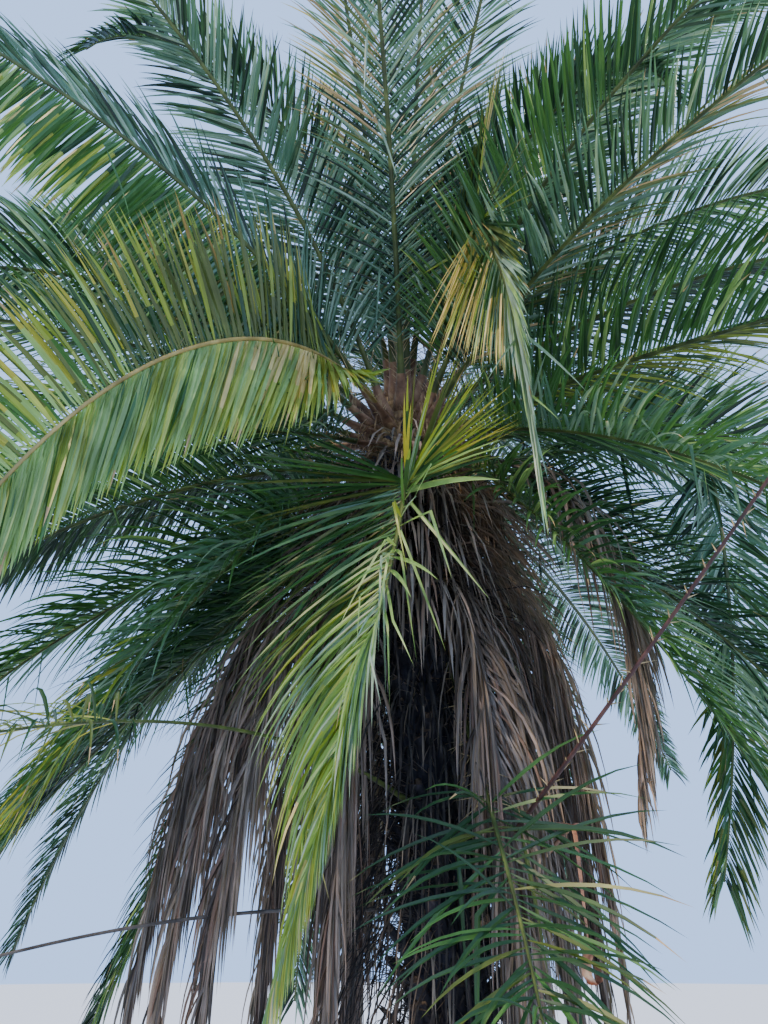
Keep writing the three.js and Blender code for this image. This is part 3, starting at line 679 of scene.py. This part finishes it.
def grow_thorns(pile, piece, rng, start, stop, pitch, lengths):
    count = max(2, int((stop - start) * piece.length / pitch))
    for side in (-1, 1):
        stray = rng.uniform(-THORN.stray, THORN.stray, count)
        share = np.linspace(start, stop, count) + stray * (stop - start) / count
        point, *frames = rib_frames(piece, share)
        grown = between(lengths, (share - start) / (stop - start))
        grown = (grown * rng.uniform(*THORN.grown, count))[:, None]
        lean = np.radians(rng.normal(*THORN.lean, count))[:, None]
        tilt = np.radians(rng.normal(*THORN.tilt, count))[:, None]
        root = point + frames[1] * side * rib_width(piece, share)[:, None] * THORN.seat
        add_spikes(pile, root, leaning(frames, side, lean, tilt), grown, THORN.radius, 0)


# The live fronds that the camera sees: height, heading, rise, droop and length, and their colours
LEFT = [
    # Its left side has a painted sunlit patch of straw yellow and pale lime near its foot
    frond("frond_left_arch", 3.545, 247, 16, 98, 2.6,
          [(0, "gilt", "pale"), (0.1, "faded", "bleached"), (0.3, "pale")],
          [(0, "bronze", "tipped"), (0.62, "pale", "gilt")],
          bend=0.65, swing=-22, roll=90, girth=0.75, limp=(0.1, 0.1), lift=4, wild=0.5, cluster=0.25,
          broken=0, tips=0.1, splay=(-14, 46), scale=(1.2, 1.05), pitch=(0.0065, 0.0105),
          width=(0.024, 0.02)),
    frond("frond_left_high", 3.61, 233, 32, 64, 2.5, "blue",
          [(0, "olive"), (0.25, "leafy"), (0.5, "leafy", "pale")],
          swing=-3, roll=-74, limp=(0.3, 0.5), cluster=0.5, splay=(0, 22), scale=(1.0, 1.2),
          pitch=(0.0105, 0.008), width=(0.017, 0.021)),
    frond("frond_left_crest", 3.79, 246, 66, 140, 2.25, "shade", "cool", ends=TIPPED,
          bend=1.6, swing=-28, roll=20),
    frond("frond_left_middle", 3.57, 216, 30, 85, 2.3, "blue", "blue", roll=-30),
    frond("frond_left_low", 3.48, 218, 2, 60, 2.2, "leafy", [(0, "teal"), (0.4, "leafy", "gilt")],
          swing=-6, roll=30, limp=(0.4, 0.7), scale=1.15),
    frond("frond_left_sag", 3.35, 172, -49, 0, 2.2, "teal", "leafy", SAGGING, swing=48),
    frond("frond_left_drop", 3.27, 158, -60, 10, 2.1, "leafy", "shade", SAGGING, swing=60, scale=1.3),
    frond("left_low_b", 3.465, 226, -16, 40, 2.3, "teal", "leafy", ends=(),
          swing=4, roll=10, limp=(0.4, 0.7), scale=1.15),
    frond("left_low_c", 3.455, 211, -44, 28, 2.3, [(0, "teal"), (0.5, "leafy", "gilt")], "teal", SAGGING, (),
          swing=-4),
    frond("left_sag_b", 3.335, 180, -24, 34, 2.2, "leafy", "teal", SAGGING, (), swing=40),
    frond("left_high_b", 3.6, 240, 52, 60, 2.3, "blue", "cool", ends=(), swing=-6, roll=-15),
    frond("left_middle_b", 3.56, 209, 12, 48, 2.4, "teal", "leafy", ends=(), swing=8),
    frond("left_drop_b", 3.255, 164, -38, 22, 2.2, "green", "leafy", SAGGING, (), swing=52, scale=1.3),
]
FRONT = [
    frond("frond_front_hanging", 3.19, 271, -22, 10, 2.06,
          [(0, "fan", "bright"), (0.1, "fan", "gilt"), (0.2, "ribbon"), (0.72, "ribbon", "bleached")],
          [(0, "fan"), (0.38, "ribbon"), (0.55, "ribbon", "bleached")],
          stalk=0.1, swing=-60, roll=-35, fold=(0.18, 42), limp=(0.02, 3.0), tips=0.05, splay=(8, 10),
          gather=(110, 34), scale=(1.15, 1.5), pitch=(0.0055, 0.0075), width=0.021, lost=(0.2, 0.5, 0.8)),
    # Its right side paints sunlight in straw yellow on its fan
    frond("frond_folded", 3.61, 294, 42, 26, 2.35, [(0, "lit"), (0.26, "green", "lit"), (0.45, "silver")],
          [(0, "lit"), (0.24, "faded", "faded"), (0.4, "fan", "faded"), (0.56, "silver")],
          ends=TIPPED, bend=0.9, swing=-35, roll=-78, fold=(0.29, 96), limp=(0.02, 0.4),
          wild=0.6, cluster=0.3, tips=0.05, splay=(-8, -6), gather=(85, 80), scale=(1.5, 1.35), pitch=0.008,
          furled=(0.46, 0.26), held=0.26),
    # Its right side has painted straw highlights past a third of its blade
    frond("frond_up_left", 3.73, 259, 56, 32, 2.4, "cool", [(0, "warm"), (0.3, "slats")], SLIM),
    frond("frond_up_middle", 3.67, 273, 60, 35, 2.4, "warm", "cool", SLIM),
    frond("frond_up_right", 3.76, 285, 60, 40, 2.4, "cool", "cool", SLIM),
    frond("frond_near_low", 2.62, 294, -70, -30, 1.6, "dusk", "dusk", stalk=0.42, girth=0.6, swing=-30,
          wild=5, splay=14, scale=1.1, pitch=0.017, width=0.019),
    frond("up_middle_b", 3.655, 267, 44, 40, 2.3, "cool", [(0, "blue"), (0.35, "warm")], SLIM, (), swing=-4),
]
RIGHT = [
    frond("frond_high_curl", 3.69, 297, 62, 150, 2.05, "cool", "green", ends=TIPPED,
          bend=1.8, swing=10),
    frond("frond_right_steep", 3.77, 310, 64, 100, 2.2, "cool", "blue", bend=1.4, swing=5),
    frond("frond_right_high", 3.56, 300, 22, 52, 2.5, "warm", "blue", roll=-20),
    frond("frond_right_middle", 3.64, 315, 40, 73, 2.3, "leafy", "blue", swing=28),
    frond("frond_right_low", 3.52, 318, -2, 30, 2.4, [(0, "bright"), (0.5, "sun", "gilt")], "leafy",
          swing=-13, tips=0.1),
    frond("frond_right_fall", 3.39, 345, 4, 26, 2.65, [(0, "blue"), (0.75, "green", "under")],
          [(0, "blue"), (0.7, "leafy", "lit")], ends=TIPPED,
          bend=1.3, swing=24, roll=-80, fold=(0.34, 88), scale=(1.35, 1.2)),
    frond("right_middle_b", 3.63, 322, 20, 55, 2.4, "green", "leafy", ends=(), swing=8),
    frond("right_low_b", 3.51, 311, -20, 42, 2.3, "leafy", "teal", ends=(), swing=-4),
    frond("right_low_c", 3.5, 311, -46, 26, 2.3, "teal", "leafy", ends=(), swing=14),
    frond("right_fall_b", 3.385, 340, -34, 34, 2.2, "blue", "green", ends=(), swing=-12),
    frond("right_high_b", 3.55, 293, 38, 50, 2.4, "blue", "leafy", ends=(), swing=18),
]

# Live fronds on the far side, youngest to oldest, and how a lower one fused with one differs
FAR = Values(count=17, sector=(-18, 222), turn=0.618034, height=(3.78, 3.33), rise=(68, -28),
             droop=(62, 48), length=(2.25, 2.5), roll=24, stalk=0.1, joined_last=13, on_right=12)
FAR_MIXES = ("mixed", "blue", "leafy", "green", "cool")
LOWER = Values(sunk=0.01, turned=8, fallen=24, swing=10, shorter=0.97)


def far_fronds():
    made = []
    for i in range(FAR.count):
        age = i / (FAR.count - 1)
        facing = FAR.sector[0] + FAR.sector[1] * ((0.5 + i * FAR.turn) % 1)
        pairs = (FAR.height, FAR.rise, FAR.droop, FAR.length)
        height, rise, droop, length = (between(pair, age) for pair in pairs)
        mixes = (FAR_MIXES[i % 5], FAR_MIXES[(i + 3) % 5])
        roll = FAR.roll * (1 if i % 2 else -1)
        made.append(frond(f"frond_far_{i + 1}", height, facing, rise, droop, length, *mixes,
                          roll=roll, stalk=FAR.stalk))
        if i % 2 and i <= FAR.joined_last:
            made.append(frond(f"far_{i + 1}_b", height - LOWER.sunk, facing + LOWER.turned,
                              rise - LOWER.fallen, droop, length * LOWER.shorter, *mixes, ends=(),
                              roll=-roll, swing=LOWER.swing, stalk=FAR.stalk))
    return made


# Dead fronds: heading, height, rise where they leave the trunk, and length. All end hanging.
HANGING_RISE = -88
DEAD_PLACES = [
    ("dead_left_far", 192, 3.18, -8, 2.1),
    ("dead_left_middle", 203, 3.12, -16, 2.1),
    ("dead_left_near", 216, 3.18, -26, 2.1),
    ("dead_right_near", 302, 3.2, -56, 2.2),
    ("dead_right_far", 350, 3.26, -34, 1.8),
    ("dead_skirt_1", 222, 3.06, -66, 1.9),
    ("dead_skirt_2", 312, 2.96, -70, 2.1),
    ("dead_skirt_3", 338, 3.04, -60, 2.0),
    ("dead_far_1", 5, 3.16, -44, 2.0),
    ("dead_far_2", 43, 3.07, -56, 2.15),
    ("dead_far_3", 81, 3.16, -44, 2.0),
    ("dead_far_4", 119, 3.07, -56, 2.15),
    ("dead_far_5", 157, 3.16, -44, 2.0),
]


def dead_fronds():
    made = []
    for name, facing, height, rise, length in DEAD_PLACES:
        mix = "rusty" if "right" in name or "skirt" in name else "dry"
        made.append(frond(name, height, facing, rise, rise - HANGING_RISE, length, mix, "dry", DEAD))
    made.append(frond("dead_right_middle", 3.4, 323, 26, 128, 1.7, "rusty", "dry", DEAD,
                      bend=0.4, swing=12, splay=-12))
    return made


LOW_STALK = frond("stalk_low", 2.03, 230, 20, 48, 1.9, "under", "gilt", STALK,
                  girth=0.5, bend=0.8, swing=12, tips=0.4)
THORNY_RIB = frond("rib_thorny", 1.75, 297, 28, 0, 1.9, kind=BARE, girth=0.5, swing=-5)
GREY_DEAD_RIB = frond("rib_grey", 1.72, 208, 2, 24, 1.85, kind=BARE, girth=0.5, swing=20)
CUT_STUMP = frond("rib_cut_stump", 1.66, 322, 38, 0, 0.46, kind=BARE)
GOLDEN_RIBS = ("frond_left_arch",)


def names_of(pieces):
    return [node for piece in pieces for node in piece.nodes]


def dress_live_fronds(rng):
    far = far_fronds()
    groups = {"left": LEFT, "front": FRONT, "right": RIGHT,
              "far_right": far[:FAR.on_right], "far_left": far[FAR.on_right:]}
    ribs = Pile("green_ribs", rib_materials)
    thorns = Pile("stalk_spines", [hard["spine_pale"]])
    for title, pieces in groups.items():
        leaflets = Pile(f"leaflets_{title}", leaf_materials)
        for piece in pieces:
            grow_leaflets(leaflets, piece, rng)
            grow_rib(ribs, piece, BASE_RIB, GOLD_RIB if piece.name in GOLDEN_RIBS else GREEN_RIB)
            grow_thorns(thorns, piece, rng, STALK_THORNS.start, piece.stalk + STALK_THORNS.past,
                        STALK_THORNS.pitch, STALK_THORNS.lengths)
        leaflets.build("green_leaf", *names_of(pieces))
    everything = names_of([piece for pieces in groups.values() for piece in pieces])
    ribs.build("green_leaf", *everything)
    thorns.build("green_leaf", *everything)


def dress_dead_fronds(rng):
    leaflets = Pile("leaflets_dry", leaf_materials)
    ribs = Pile("dry_ribs", rib_materials)
    dead = dead_fronds()
    for piece in dead:
        grow_leaflets(leaflets, piece, rng)
        grow_rib(ribs, piece, DRY_RIB, DRY_RIB)
    leaflets.build("dry_leaf", *names_of(dead))
    ribs.build("dry_leaf", *names_of(dead))


def dress_low_ribs():
    """The stalk with leaflets at its end only, and the three ribs that have lost theirs."""
    rng = np.random.default_rng(SEEDS["low_ribs"])
    leaflets = Pile("leaflets_low_stalk", leaf_materials)
    grow_leaflets(leaflets, LOW_STALK, rng)
    leaflets.build("green_leaf", "stalk_low")
    stalk = Pile("low_stalk", rib_materials)
    grow_rib(stalk, LOW_STALK, GREEN_RIB, GREEN_RIB)
    stalk.build("green_leaf", "stalk_low")
    ribs = Pile("bare_ribs", rib_materials)
    bare = {RED_RIB: THORNY_RIB, GREY_RIB: GREY_DEAD_RIB, BASE_RIB: CUT_STUMP}
    for slot, piece in bare.items():
        grow_rib(ribs, piece, slot, slot)
    thorns = Pile("bare_rib_thorns", [hard["spine_pale"]])
    grow_thorns(thorns, THORNY_RIB, rng, *RIB_THORNS)
    ribs.build("old_rib", *names_of(bare.values()))
    thorns.build("old_rib", "rib_thorny")


# Strips that peel from the cut: turn, width, step and rises. Two curl from the end of the first.
STRIPS = [
    (-60, 0.014, 0.06, (-36, -74, -88, -90, -86, -90)),
    (24, 0.036, 0.034, (-40, -82, -130, -190, -250, -310)),
    (-100, 0.04, 0.032, (-50, -86, -134, -196, -270, -340)),
    (-130, 0.022, 0.03, (10, 0, -10, -16)),
    (0, 0.026, 0.018, (14, -8)),
]
CURLED_STRIPS = (1, 2)
STRIP_THINNING = 0.6


def dress_strips():
    """Skin that peels from the end of the cut stump."""
    hung = CUT_STUMP.spine[-1]
    pile = Pile("peeled_strips", [hard["peeled_skin"]])
    for i, (aside, width, step, rises) in enumerate(STRIPS):
        place = hung if i in CURLED_STRIPS else CUT_STUMP.spine[-1]
        heading = CUT_STUMP.facing + aside
        level = np.cross(direction(heading, 0), (0, 0, 1))
        corners = []
        for j, rise in enumerate(rises):
            half = level * width * (1 - STRIP_THINNING * j / len(rises)) / 2
            corners += [place - half, place + half]
            place = place + direction(heading, rise) * step
        corners.append(place)
        hung = place if i == 0 else hung
        pile.add(np.array(corners), ribbon_faces(len(rises)), 0)
    pile.build("old_rib", "rib_cut_stump")


def deselect():
    bpy.ops.object.select_all(action="DESELECT")


def edit_all():
    bpy.ops.object.mode_set(mode="EDIT")
    bpy.ops.mesh.select_all(action="SELECT")


def leave_edit():
    bpy.ops.object.mode_set(mode="OBJECT")


def apply_modifiers(made):
    deselect()
    bpy.context.view_layer.objects.active = made
    made.select_set(True)
    for modifier in list(made.modifiers):
        bpy.ops.object.modifier_apply(modifier=modifier.name)


def roughen(made, kind, size, strength):
    texture = bpy.data.textures.new(f"{made.name}_{kind.lower()}", type=kind)
    texture.noise_scale = size
    modifier = made.modifiers.new("relief", "DISPLACE")
    modifier.texture = texture
    modifier.texture_coords = "LOCAL"
    modifier.strength = strength
    modifier.mid_level = 0.5


def refine(made, levels):
    modifier = made.modifiers.new("rounding", "SUBSURF")
    modifier.levels = modifier.render_levels = levels


def raised_stem(name, low, high, step, sides):
    """A stem drawn up ring by ring from its foot, each ring set to the trunk's lean and girth."""
    deselect()
    bpy.ops.mesh.primitive_circle_add(vertices=sides, radius=float(stem_radius(low)), fill_type="NGON",
                                      location=tuple(axis_at(low)))
    made = bpy.context.object
    made.name = name
    bpy.ops.object.transform_apply()
    edit_all()
    heights = np.arange(low, high + step * 0.5, step)
    for below, above in zip(heights[:-1], heights[1:]):
        move = axis_at(above) - axis_at(below)
        bpy.ops.mesh.extrude_region_move(TRANSFORM_OT_translate={"value": tuple(move)})
        grow = float(stem_radius(above) / stem_radius(below))
        bpy.ops.transform.resize(value=(grow, grow, 1), center_override=tuple(axis_at(above)))
    bpy.ops.mesh.select_all(action="SELECT")
    bpy.ops.mesh.normals_make_consistent(inside=False)
    leave_edit()
    return made


# Rings and sides of the trunk and the heart, and the size and strength of each relief
TRUNK_STEP = 0.0575
TRUNK_SIDES = 36
TRUNK_CRUST = (0.05, 0.03)
TRUNK_GRAIN = (0.012, 0.014)
HEART_SUNK = 0.02
HEART_STEP = 0.047
HEART_SIDES = 28
HEART_LUMPS = (0.03, 0.03)


def dress_trunk():
    made = raised_stem("trunk_bark", 0.0, TRUNK_HEIGHT, TRUNK_STEP, TRUNK_SIDES)
    refine(made, 1)
    roughen(made, "VORONOI", *TRUNK_CRUST)
    roughen(made, "CLOUDS", *TRUNK_GRAIN)
    apply_modifiers(made)
    for vertex in made.data.vertices:
        vertex.co.z = max(vertex.co.z, 0.0)
    # The bark's navy-black tones are partly painted shade of the crown on the trunk
    made.data.materials.append(hard["bark_dark"])
    settle(made, "trunk_bark", "trunk")


def dress_heart():
    made = raised_stem("heart_bundle", TRUNK_HEIGHT - HEART_SUNK, TRUNK_HEIGHT + HEART_HEIGHT,
                       HEART_STEP, HEART_SIDES)
    refine(made, 2)
    roughen(made, "CLOUDS", *HEART_LUMPS)
    apply_modifiers(made)
    made.data.materials.append(hard["fibre_brown"])
    settle(made, "heart_fibre", "heart")


# Old leaf stubs in their spiral, as the solids have them
STUB = Values(count=84, low=0.33, high=2.56, length=0.17, rise=38, sink=0.04, width=0.07, depth=0.036)

# One stub of unit size: its foot, the way and growth of each stretch, and its ragged end
STUB_FOOT = 0.25
STUB_STRETCHES = (((0, 0.25, 0.12), 0.8), ((0, 0.25, 0.1), 0.88), ((0, 0.25, 0.16), 0.94))
STUB_FLATNESS = 0.86
STUB_END = Values(inset=0.12, hollow=-0.05, bevel=0.09, start=0.7, facing=0.9, worn=0.75)

# Lesser stubs between two of the spiral
LESSER = Values(count=3, turn=132.625, rises=(-10, 14), lengths=(0.55, 0.85))

# Stubs under the crown and at the foot: number, heights, rises and lengths
MORE_STUBS = (
    (150, (STUB.high, 3.5), (45, 68), (0.1, 0.16)),
    (46, (0.06, STUB.low), (45, 70), (0.07, 0.1)),
)

# How stubs differ
STUB_SHAPES = Values(widths=(0.75, 1.1), depths=(0.7, 1.15), lengths=(0.9, 1.0), ragged=0.05)


def select_end(made):
    """Selects a stub's outward end face and goes on in edit mode."""
    bpy.ops.mesh.select_all(action="DESELECT")
    leave_edit()
    for face in made.data.polygons:
        face.select = face.normal.y > STUB_END.facing
    bpy.ops.object.mode_set(mode="EDIT")
    bpy.ops.mesh.select_mode(type="FACE")


def model_stub():
    """One old leaf stub: a wedge that narrows, bends up and ends ragged, +Y outwards."""
    deselect()
    bpy.ops.mesh.primitive_cube_add(size=1, location=(0, 0, 0))
    made = bpy.context.object
    edit_all()
    bpy.ops.transform.resize(value=(1.0, STUB_FOOT, 1.0), center_override=(0, 0, 0))
    bpy.ops.transform.translate(value=(0, STUB_FOOT / 2, 0))
    for move, grow in STUB_STRETCHES:
        select_end(made)
        bpy.ops.mesh.extrude_region_move(TRANSFORM_OT_translate={"value": move})
        bpy.ops.transform.resize(value=(grow, 1, grow * STUB_FLATNESS))
    select_end(made)
    bpy.ops.mesh.inset(thickness=STUB_END.inset, depth=STUB_END.hollow)
    leave_edit()
    bevel = made.modifiers.new("edges", "BEVEL")
    bevel.width = STUB_END.bevel
    bevel.segments = 1
    apply_modifiers(made)
    edit_all()
    bpy.ops.mesh.quads_convert_to_tris()
    leave_edit()
    points = np.array([vertex.co for vertex in made.data.vertices])
    faces = np.array([face.vertices for face in made.data.polygons])
    ends = np.array([face.normal.y > STUB_END.worn and face.center.y > STUB_END.start
                     for face in made.data.polygons])
    bpy.data.objects.remove(made)
    return points, faces, ends


def stub_places(rng):
    """Height, heading, rise and length of each stub: the solids' own, and lesser ones between."""
    places = []
    step = (STUB.high - STUB.low) / STUB.count
    for i in range(STUB.count):
        height, heading = STUB.low + step * (i + 0.5), i * GOLDEN_ANGLE
        places.append((height, heading, STUB.rise, STUB.length))
        for j in range(1, LESSER.count + 1):
            rise = STUB.rise + rng.uniform(*LESSER.rises)
            places.append((height + step * j / (LESSER.count + 1), heading + LESSER.turn * j, rise,
                           STUB.length * rng.uniform(*LESSER.lengths)))
    for count, heights, rises, lengths in MORE_STUBS:
        for i in range(count):
            height = rng.uniform(*heights)
            places.append((height, i * GOLDEN_ANGLE, rng.uniform(*rises), rng.uniform(*lengths)))
    return places


def dress_stubs():
    rng = np.random.default_rng(SEEDS["stubs"])
    points, faces, ends = model_stub()
    # The stubs' navy-black wood is partly painted shade of the crown
    pile = Pile("trunk_leaf_stubs", [hard["stub_wood"], hard["stub_broken_end"]])
    for height, heading, rise, length in stub_places(rng):
        along = direction(heading, rise)
        across = unit(np.array([along[1], -along[0], 0.0]))
        up = np.cross(across, along)
        width = STUB.width * rng.uniform(*STUB_SHAPES.widths)
        depth = STUB.depth * rng.uniform(*STUB_SHAPES.depths)
        grown = length * rng.uniform(*STUB_SHAPES.lengths)
        seat = on_stem(height, heading, -STUB.sink)
        ragged = points + rng.normal(0, STUB_SHAPES.ragged, points.shape) * (points[:, 1:2] > STUB_END.start)
        shaped = seat + ragged[:, :1] * across * width + ragged[:, 1:2] * along * grown
        shaped = shaped + ragged[:, 2:3] * up * depth
        pile.add(shaped, faces, np.where(ends, 1, 0))
    pile.build("trunk_bark", "trunk")


FIBRE_FINISHES = ("fibre_dark", "fibre_brown", "spine_dark")
DARK_FIBRE, BROWN_FIBRE, DARK_THORN = range(len(FIBRE_FINISHES))

# Fuzz and long thorns on the trunk: number, heights, finish, reach and radius
FUZZ = (
    (2600, (0.4, 2.9), DARK_FIBRE, 0.09, 0.0011),
    (3200, (2.7, 3.8), BROWN_FIBRE, 0.14, 0.0011),
    (900, (0.35, 3.2), DARK_THORN, 0.19, 0.0022),
)
FUZZ_TURN = 55
FUZZ_RISE = (12, 42)
FUZZ_GROWN = (0.4, 1.0)

# Strands that hang from the trunk: what all have, and number, heights and own values of each kind
FIBRE = Values(turn=35, rises=(-30, 45), curls=(0.5, 1.6), mix=None, sections=4)
STRANDS = (
    (1500, (0.9, 3.2), {"slot": DARK_FIBRE, "lengths": (0.25, 0.6), "width": 0.007}),
    (500, (1.2, 3.2), {"slot": DARK_THORN, "lengths": (0.2, 0.45), "width": 0.005}),
    (300, (3.1, 3.6), {"slot": BROWN_FIBRE, "lengths": (0.15, 0.35), "width": 0.006}),
)
STRAND_DROP = 0.8

# Dry leaflets caught between the frond feet, so many of each mix
LOOSE = Values(turn=20, rises=(-50, 10), lengths=(0.3, 0.62), width=(0.007, 0.013),
               curls=(0.35, 0.8), sections=4, heights=(2.75, 3.42), out=0.02)
LOOSE_LEAFLETS = {"rusty": 900, "dry": 500}

# Old flower brushes: heading and height of each, and how far out they hang
BRUSH = Values(turn=60, rises=(-88, -58), lengths=(0.14, 0.34), width=0.004, curls=(0.6, 1.6),
               mix="brush", sections=5, strands=220, out=0.14, foot=0.016)
BRUSH_PLACES = ((290, 3.2), (196, 3.2), (338, 3.26), (55, 3.2), (130, 3.26))


def round_stem(rng, count, heights, out=-0.005):
    """Places and headings spread round the stem."""
    height = rng.uniform(*heights, count)
    heading = rng.uniform(0, 360, count)
    return on_stem(height, heading, out), heading


def hang_strands(pile, seat, heading, look, rng):
    """Strands of one look from their seats. None reaches the floor."""
    count = len(seat)
    slant = direction(heading + rng.normal(0, look.turn, count), rng.uniform(*look.rises, count))
    length = rng.uniform(*look.lengths, count)[:, None]
    slots = dealt(look.mix, count, rng)[:, None] if look.mix else look.slot
    width = look.width if np.isscalar(look.width) else rng.uniform(*look.width, count)[:, None]
    curl = rng.uniform(*look.curls, count)[:, None]
    length = np.minimum(length, seat[:, 2:3] * STRAND_DROP)
    add_strands(pile, seat, slant, length, width, curl, slots, look.sections)


def dress_fibres():
    """Loose fibre on the trunk and round the heart, long thorns, and dry strands that hang."""
    rng = np.random.default_rng(SEEDS["fibres"])
    pile = Pile("trunk_fibres", [hard[name] for name in FIBRE_FINISHES])
    for count, heights, slot, reach, radius in FUZZ:
        seat, heading = round_stem(rng, count, heights)
        slant = direction(heading + rng.normal(0, FUZZ_TURN, count), rng.normal(*FUZZ_RISE, count))
        add_spikes(pile, seat, slant, rng.uniform(*FUZZ_GROWN, count)[:, None] * reach, radius, slot)
    for count, heights, own in STRANDS:
        hang_strands(pile, *round_stem(rng, count, heights), Values(**{**vars(FIBRE), **own}), rng)
    pile.build("trunk_bark", "trunk", "heart")


def dress_loose():
    """Dry leaflets between the frond feet, and old flower brushes."""
    rng = np.random.default_rng(SEEDS["loose"])
    pile = Pile("loose_dry_leaflets", leaf_materials)
    for mix, count in LOOSE_LEAFLETS.items():
        seat, heading = round_stem(rng, count, LOOSE.heights, LOOSE.out)
        hang_strands(pile, seat, heading, Values(mix=mix, **vars(LOOSE)), rng)
    for heading, height in BRUSH_PLACES:
        seat = on_stem(height, heading, BRUSH.out) + rng.normal(0, BRUSH.foot, (BRUSH.strands, 3))
        hang_strands(pile, seat, heading, BRUSH, rng)
    pile.build("dry_leaf", "trunk", "heart")


# Unopened fronds, each leaning more and shorter than the last, that stay inside their solids
SPEARS = Values(count=3, length=1.15, tilt=9, seat=0.7, tilt_step=0.4, shorter=0.15, inside=0.12)


def dress_spears():
    """Leaflets still folded against their ribs, standing in the heart."""
    rng = np.random.default_rng(SEEDS["spears"])
    leaflets = Pile("heart_spears", leaf_materials)
    foot = TRUNK_HEIGHT + HEART_HEIGHT * SPEARS.seat
    for i in range(SPEARS.count):
        heading = i * GOLDEN_ANGLE
        rise = 90 - SPEARS.tilt * (SPEARS.tilt_step + i * SPEARS.tilt_step)
        length = SPEARS.length * (1 - i * SPEARS.shorter) - SPEARS.inside
        spear = frond("heart", foot, heading, rise, 0, length, "bright", "pale", SPEAR)
        spear.spine = spear.spine - direction(heading, 0) * stem_radius(foot)
        grow_leaflets(leaflets, spear, rng)
    leaflets.build("heart_fibre", "heart")


# Floor and light, and each sun's heading, rise, strength, softness and colour
FLOOR_RADIUS = 60
FLOOR_DROP = 0.002
FLOOR_COLOUR = "#c9cdd0"
DAYLIGHT_COLOUR = "#9fc0f4"
DAYLIGHT_STRENGTH = 2.0
SUNS = {
    "sun_front": (232, 40, 3.8, 4, "#ffe2b8"),
    "sun_back": (35, 50, 2.0, 10, "#fff0d8"),
    "fill_front": (285, -8, 1.0, 70, "#d3e2ff"),
}

# Camera at eye height, tilted up at the crown
EYE = (-0.22, -2.8, 1.6)
EYE_PITCH = 30
LENS = 27


def make_floor():
    deselect()
    bpy.ops.mesh.primitive_circle_add(vertices=96, radius=FLOOR_RADIUS, fill_type="NGON",
                                      location=(0, 0, -FLOOR_DROP))
    floor = bpy.context.object
    floor.name = "floor"
    material, tree, shader = new_material("floor_pale")
    plug(tree, shader, {"Base Color": (*linear(FLOOR_COLOUR), 1), "Roughness": 0.9})
    floor.data.materials.append(material)


def make_light():
    world = bpy.data.worlds.new("daylight")
    world.use_nodes = True
    plug(world.node_tree, world.node_tree.nodes["Background"],
         {"Color": (*linear(DAYLIGHT_COLOUR), 1), "Strength": DAYLIGHT_STRENGTH})
    bpy.context.scene.world = world
    for name, (heading, rise, strength, softness, colour) in SUNS.items():
        light = bpy.data.lights.new(name, "SUN")
        light.energy = strength
        light.angle = math.radians(softness)
        light.color = linear(colour)
        turn = Vector(direction(heading, rise)).to_track_quat("Z", "Y")
        placed(name, light).rotation_euler = turn.to_euler()


def make_camera():
    data = bpy.data.cameras.new("eye")
    data.lens = LENS
    camera = placed("eye", data)
    camera.location = EYE
    camera.rotation_euler = (math.radians(90 + EYE_PITCH), 0, 0)
    bpy.context.scene.camera = camera


make_floor()
make_camera()
make_light()
dress_trunk()
dress_stubs()
dress_fibres()
dress_loose()
dress_heart()
dress_spears()
frond_rng = np.random.default_rng(SEEDS["fronds"])
dress_live_fronds(frond_rng)
dress_dead_fronds(frond_rng)
dress_low_ribs()
dress_strips()
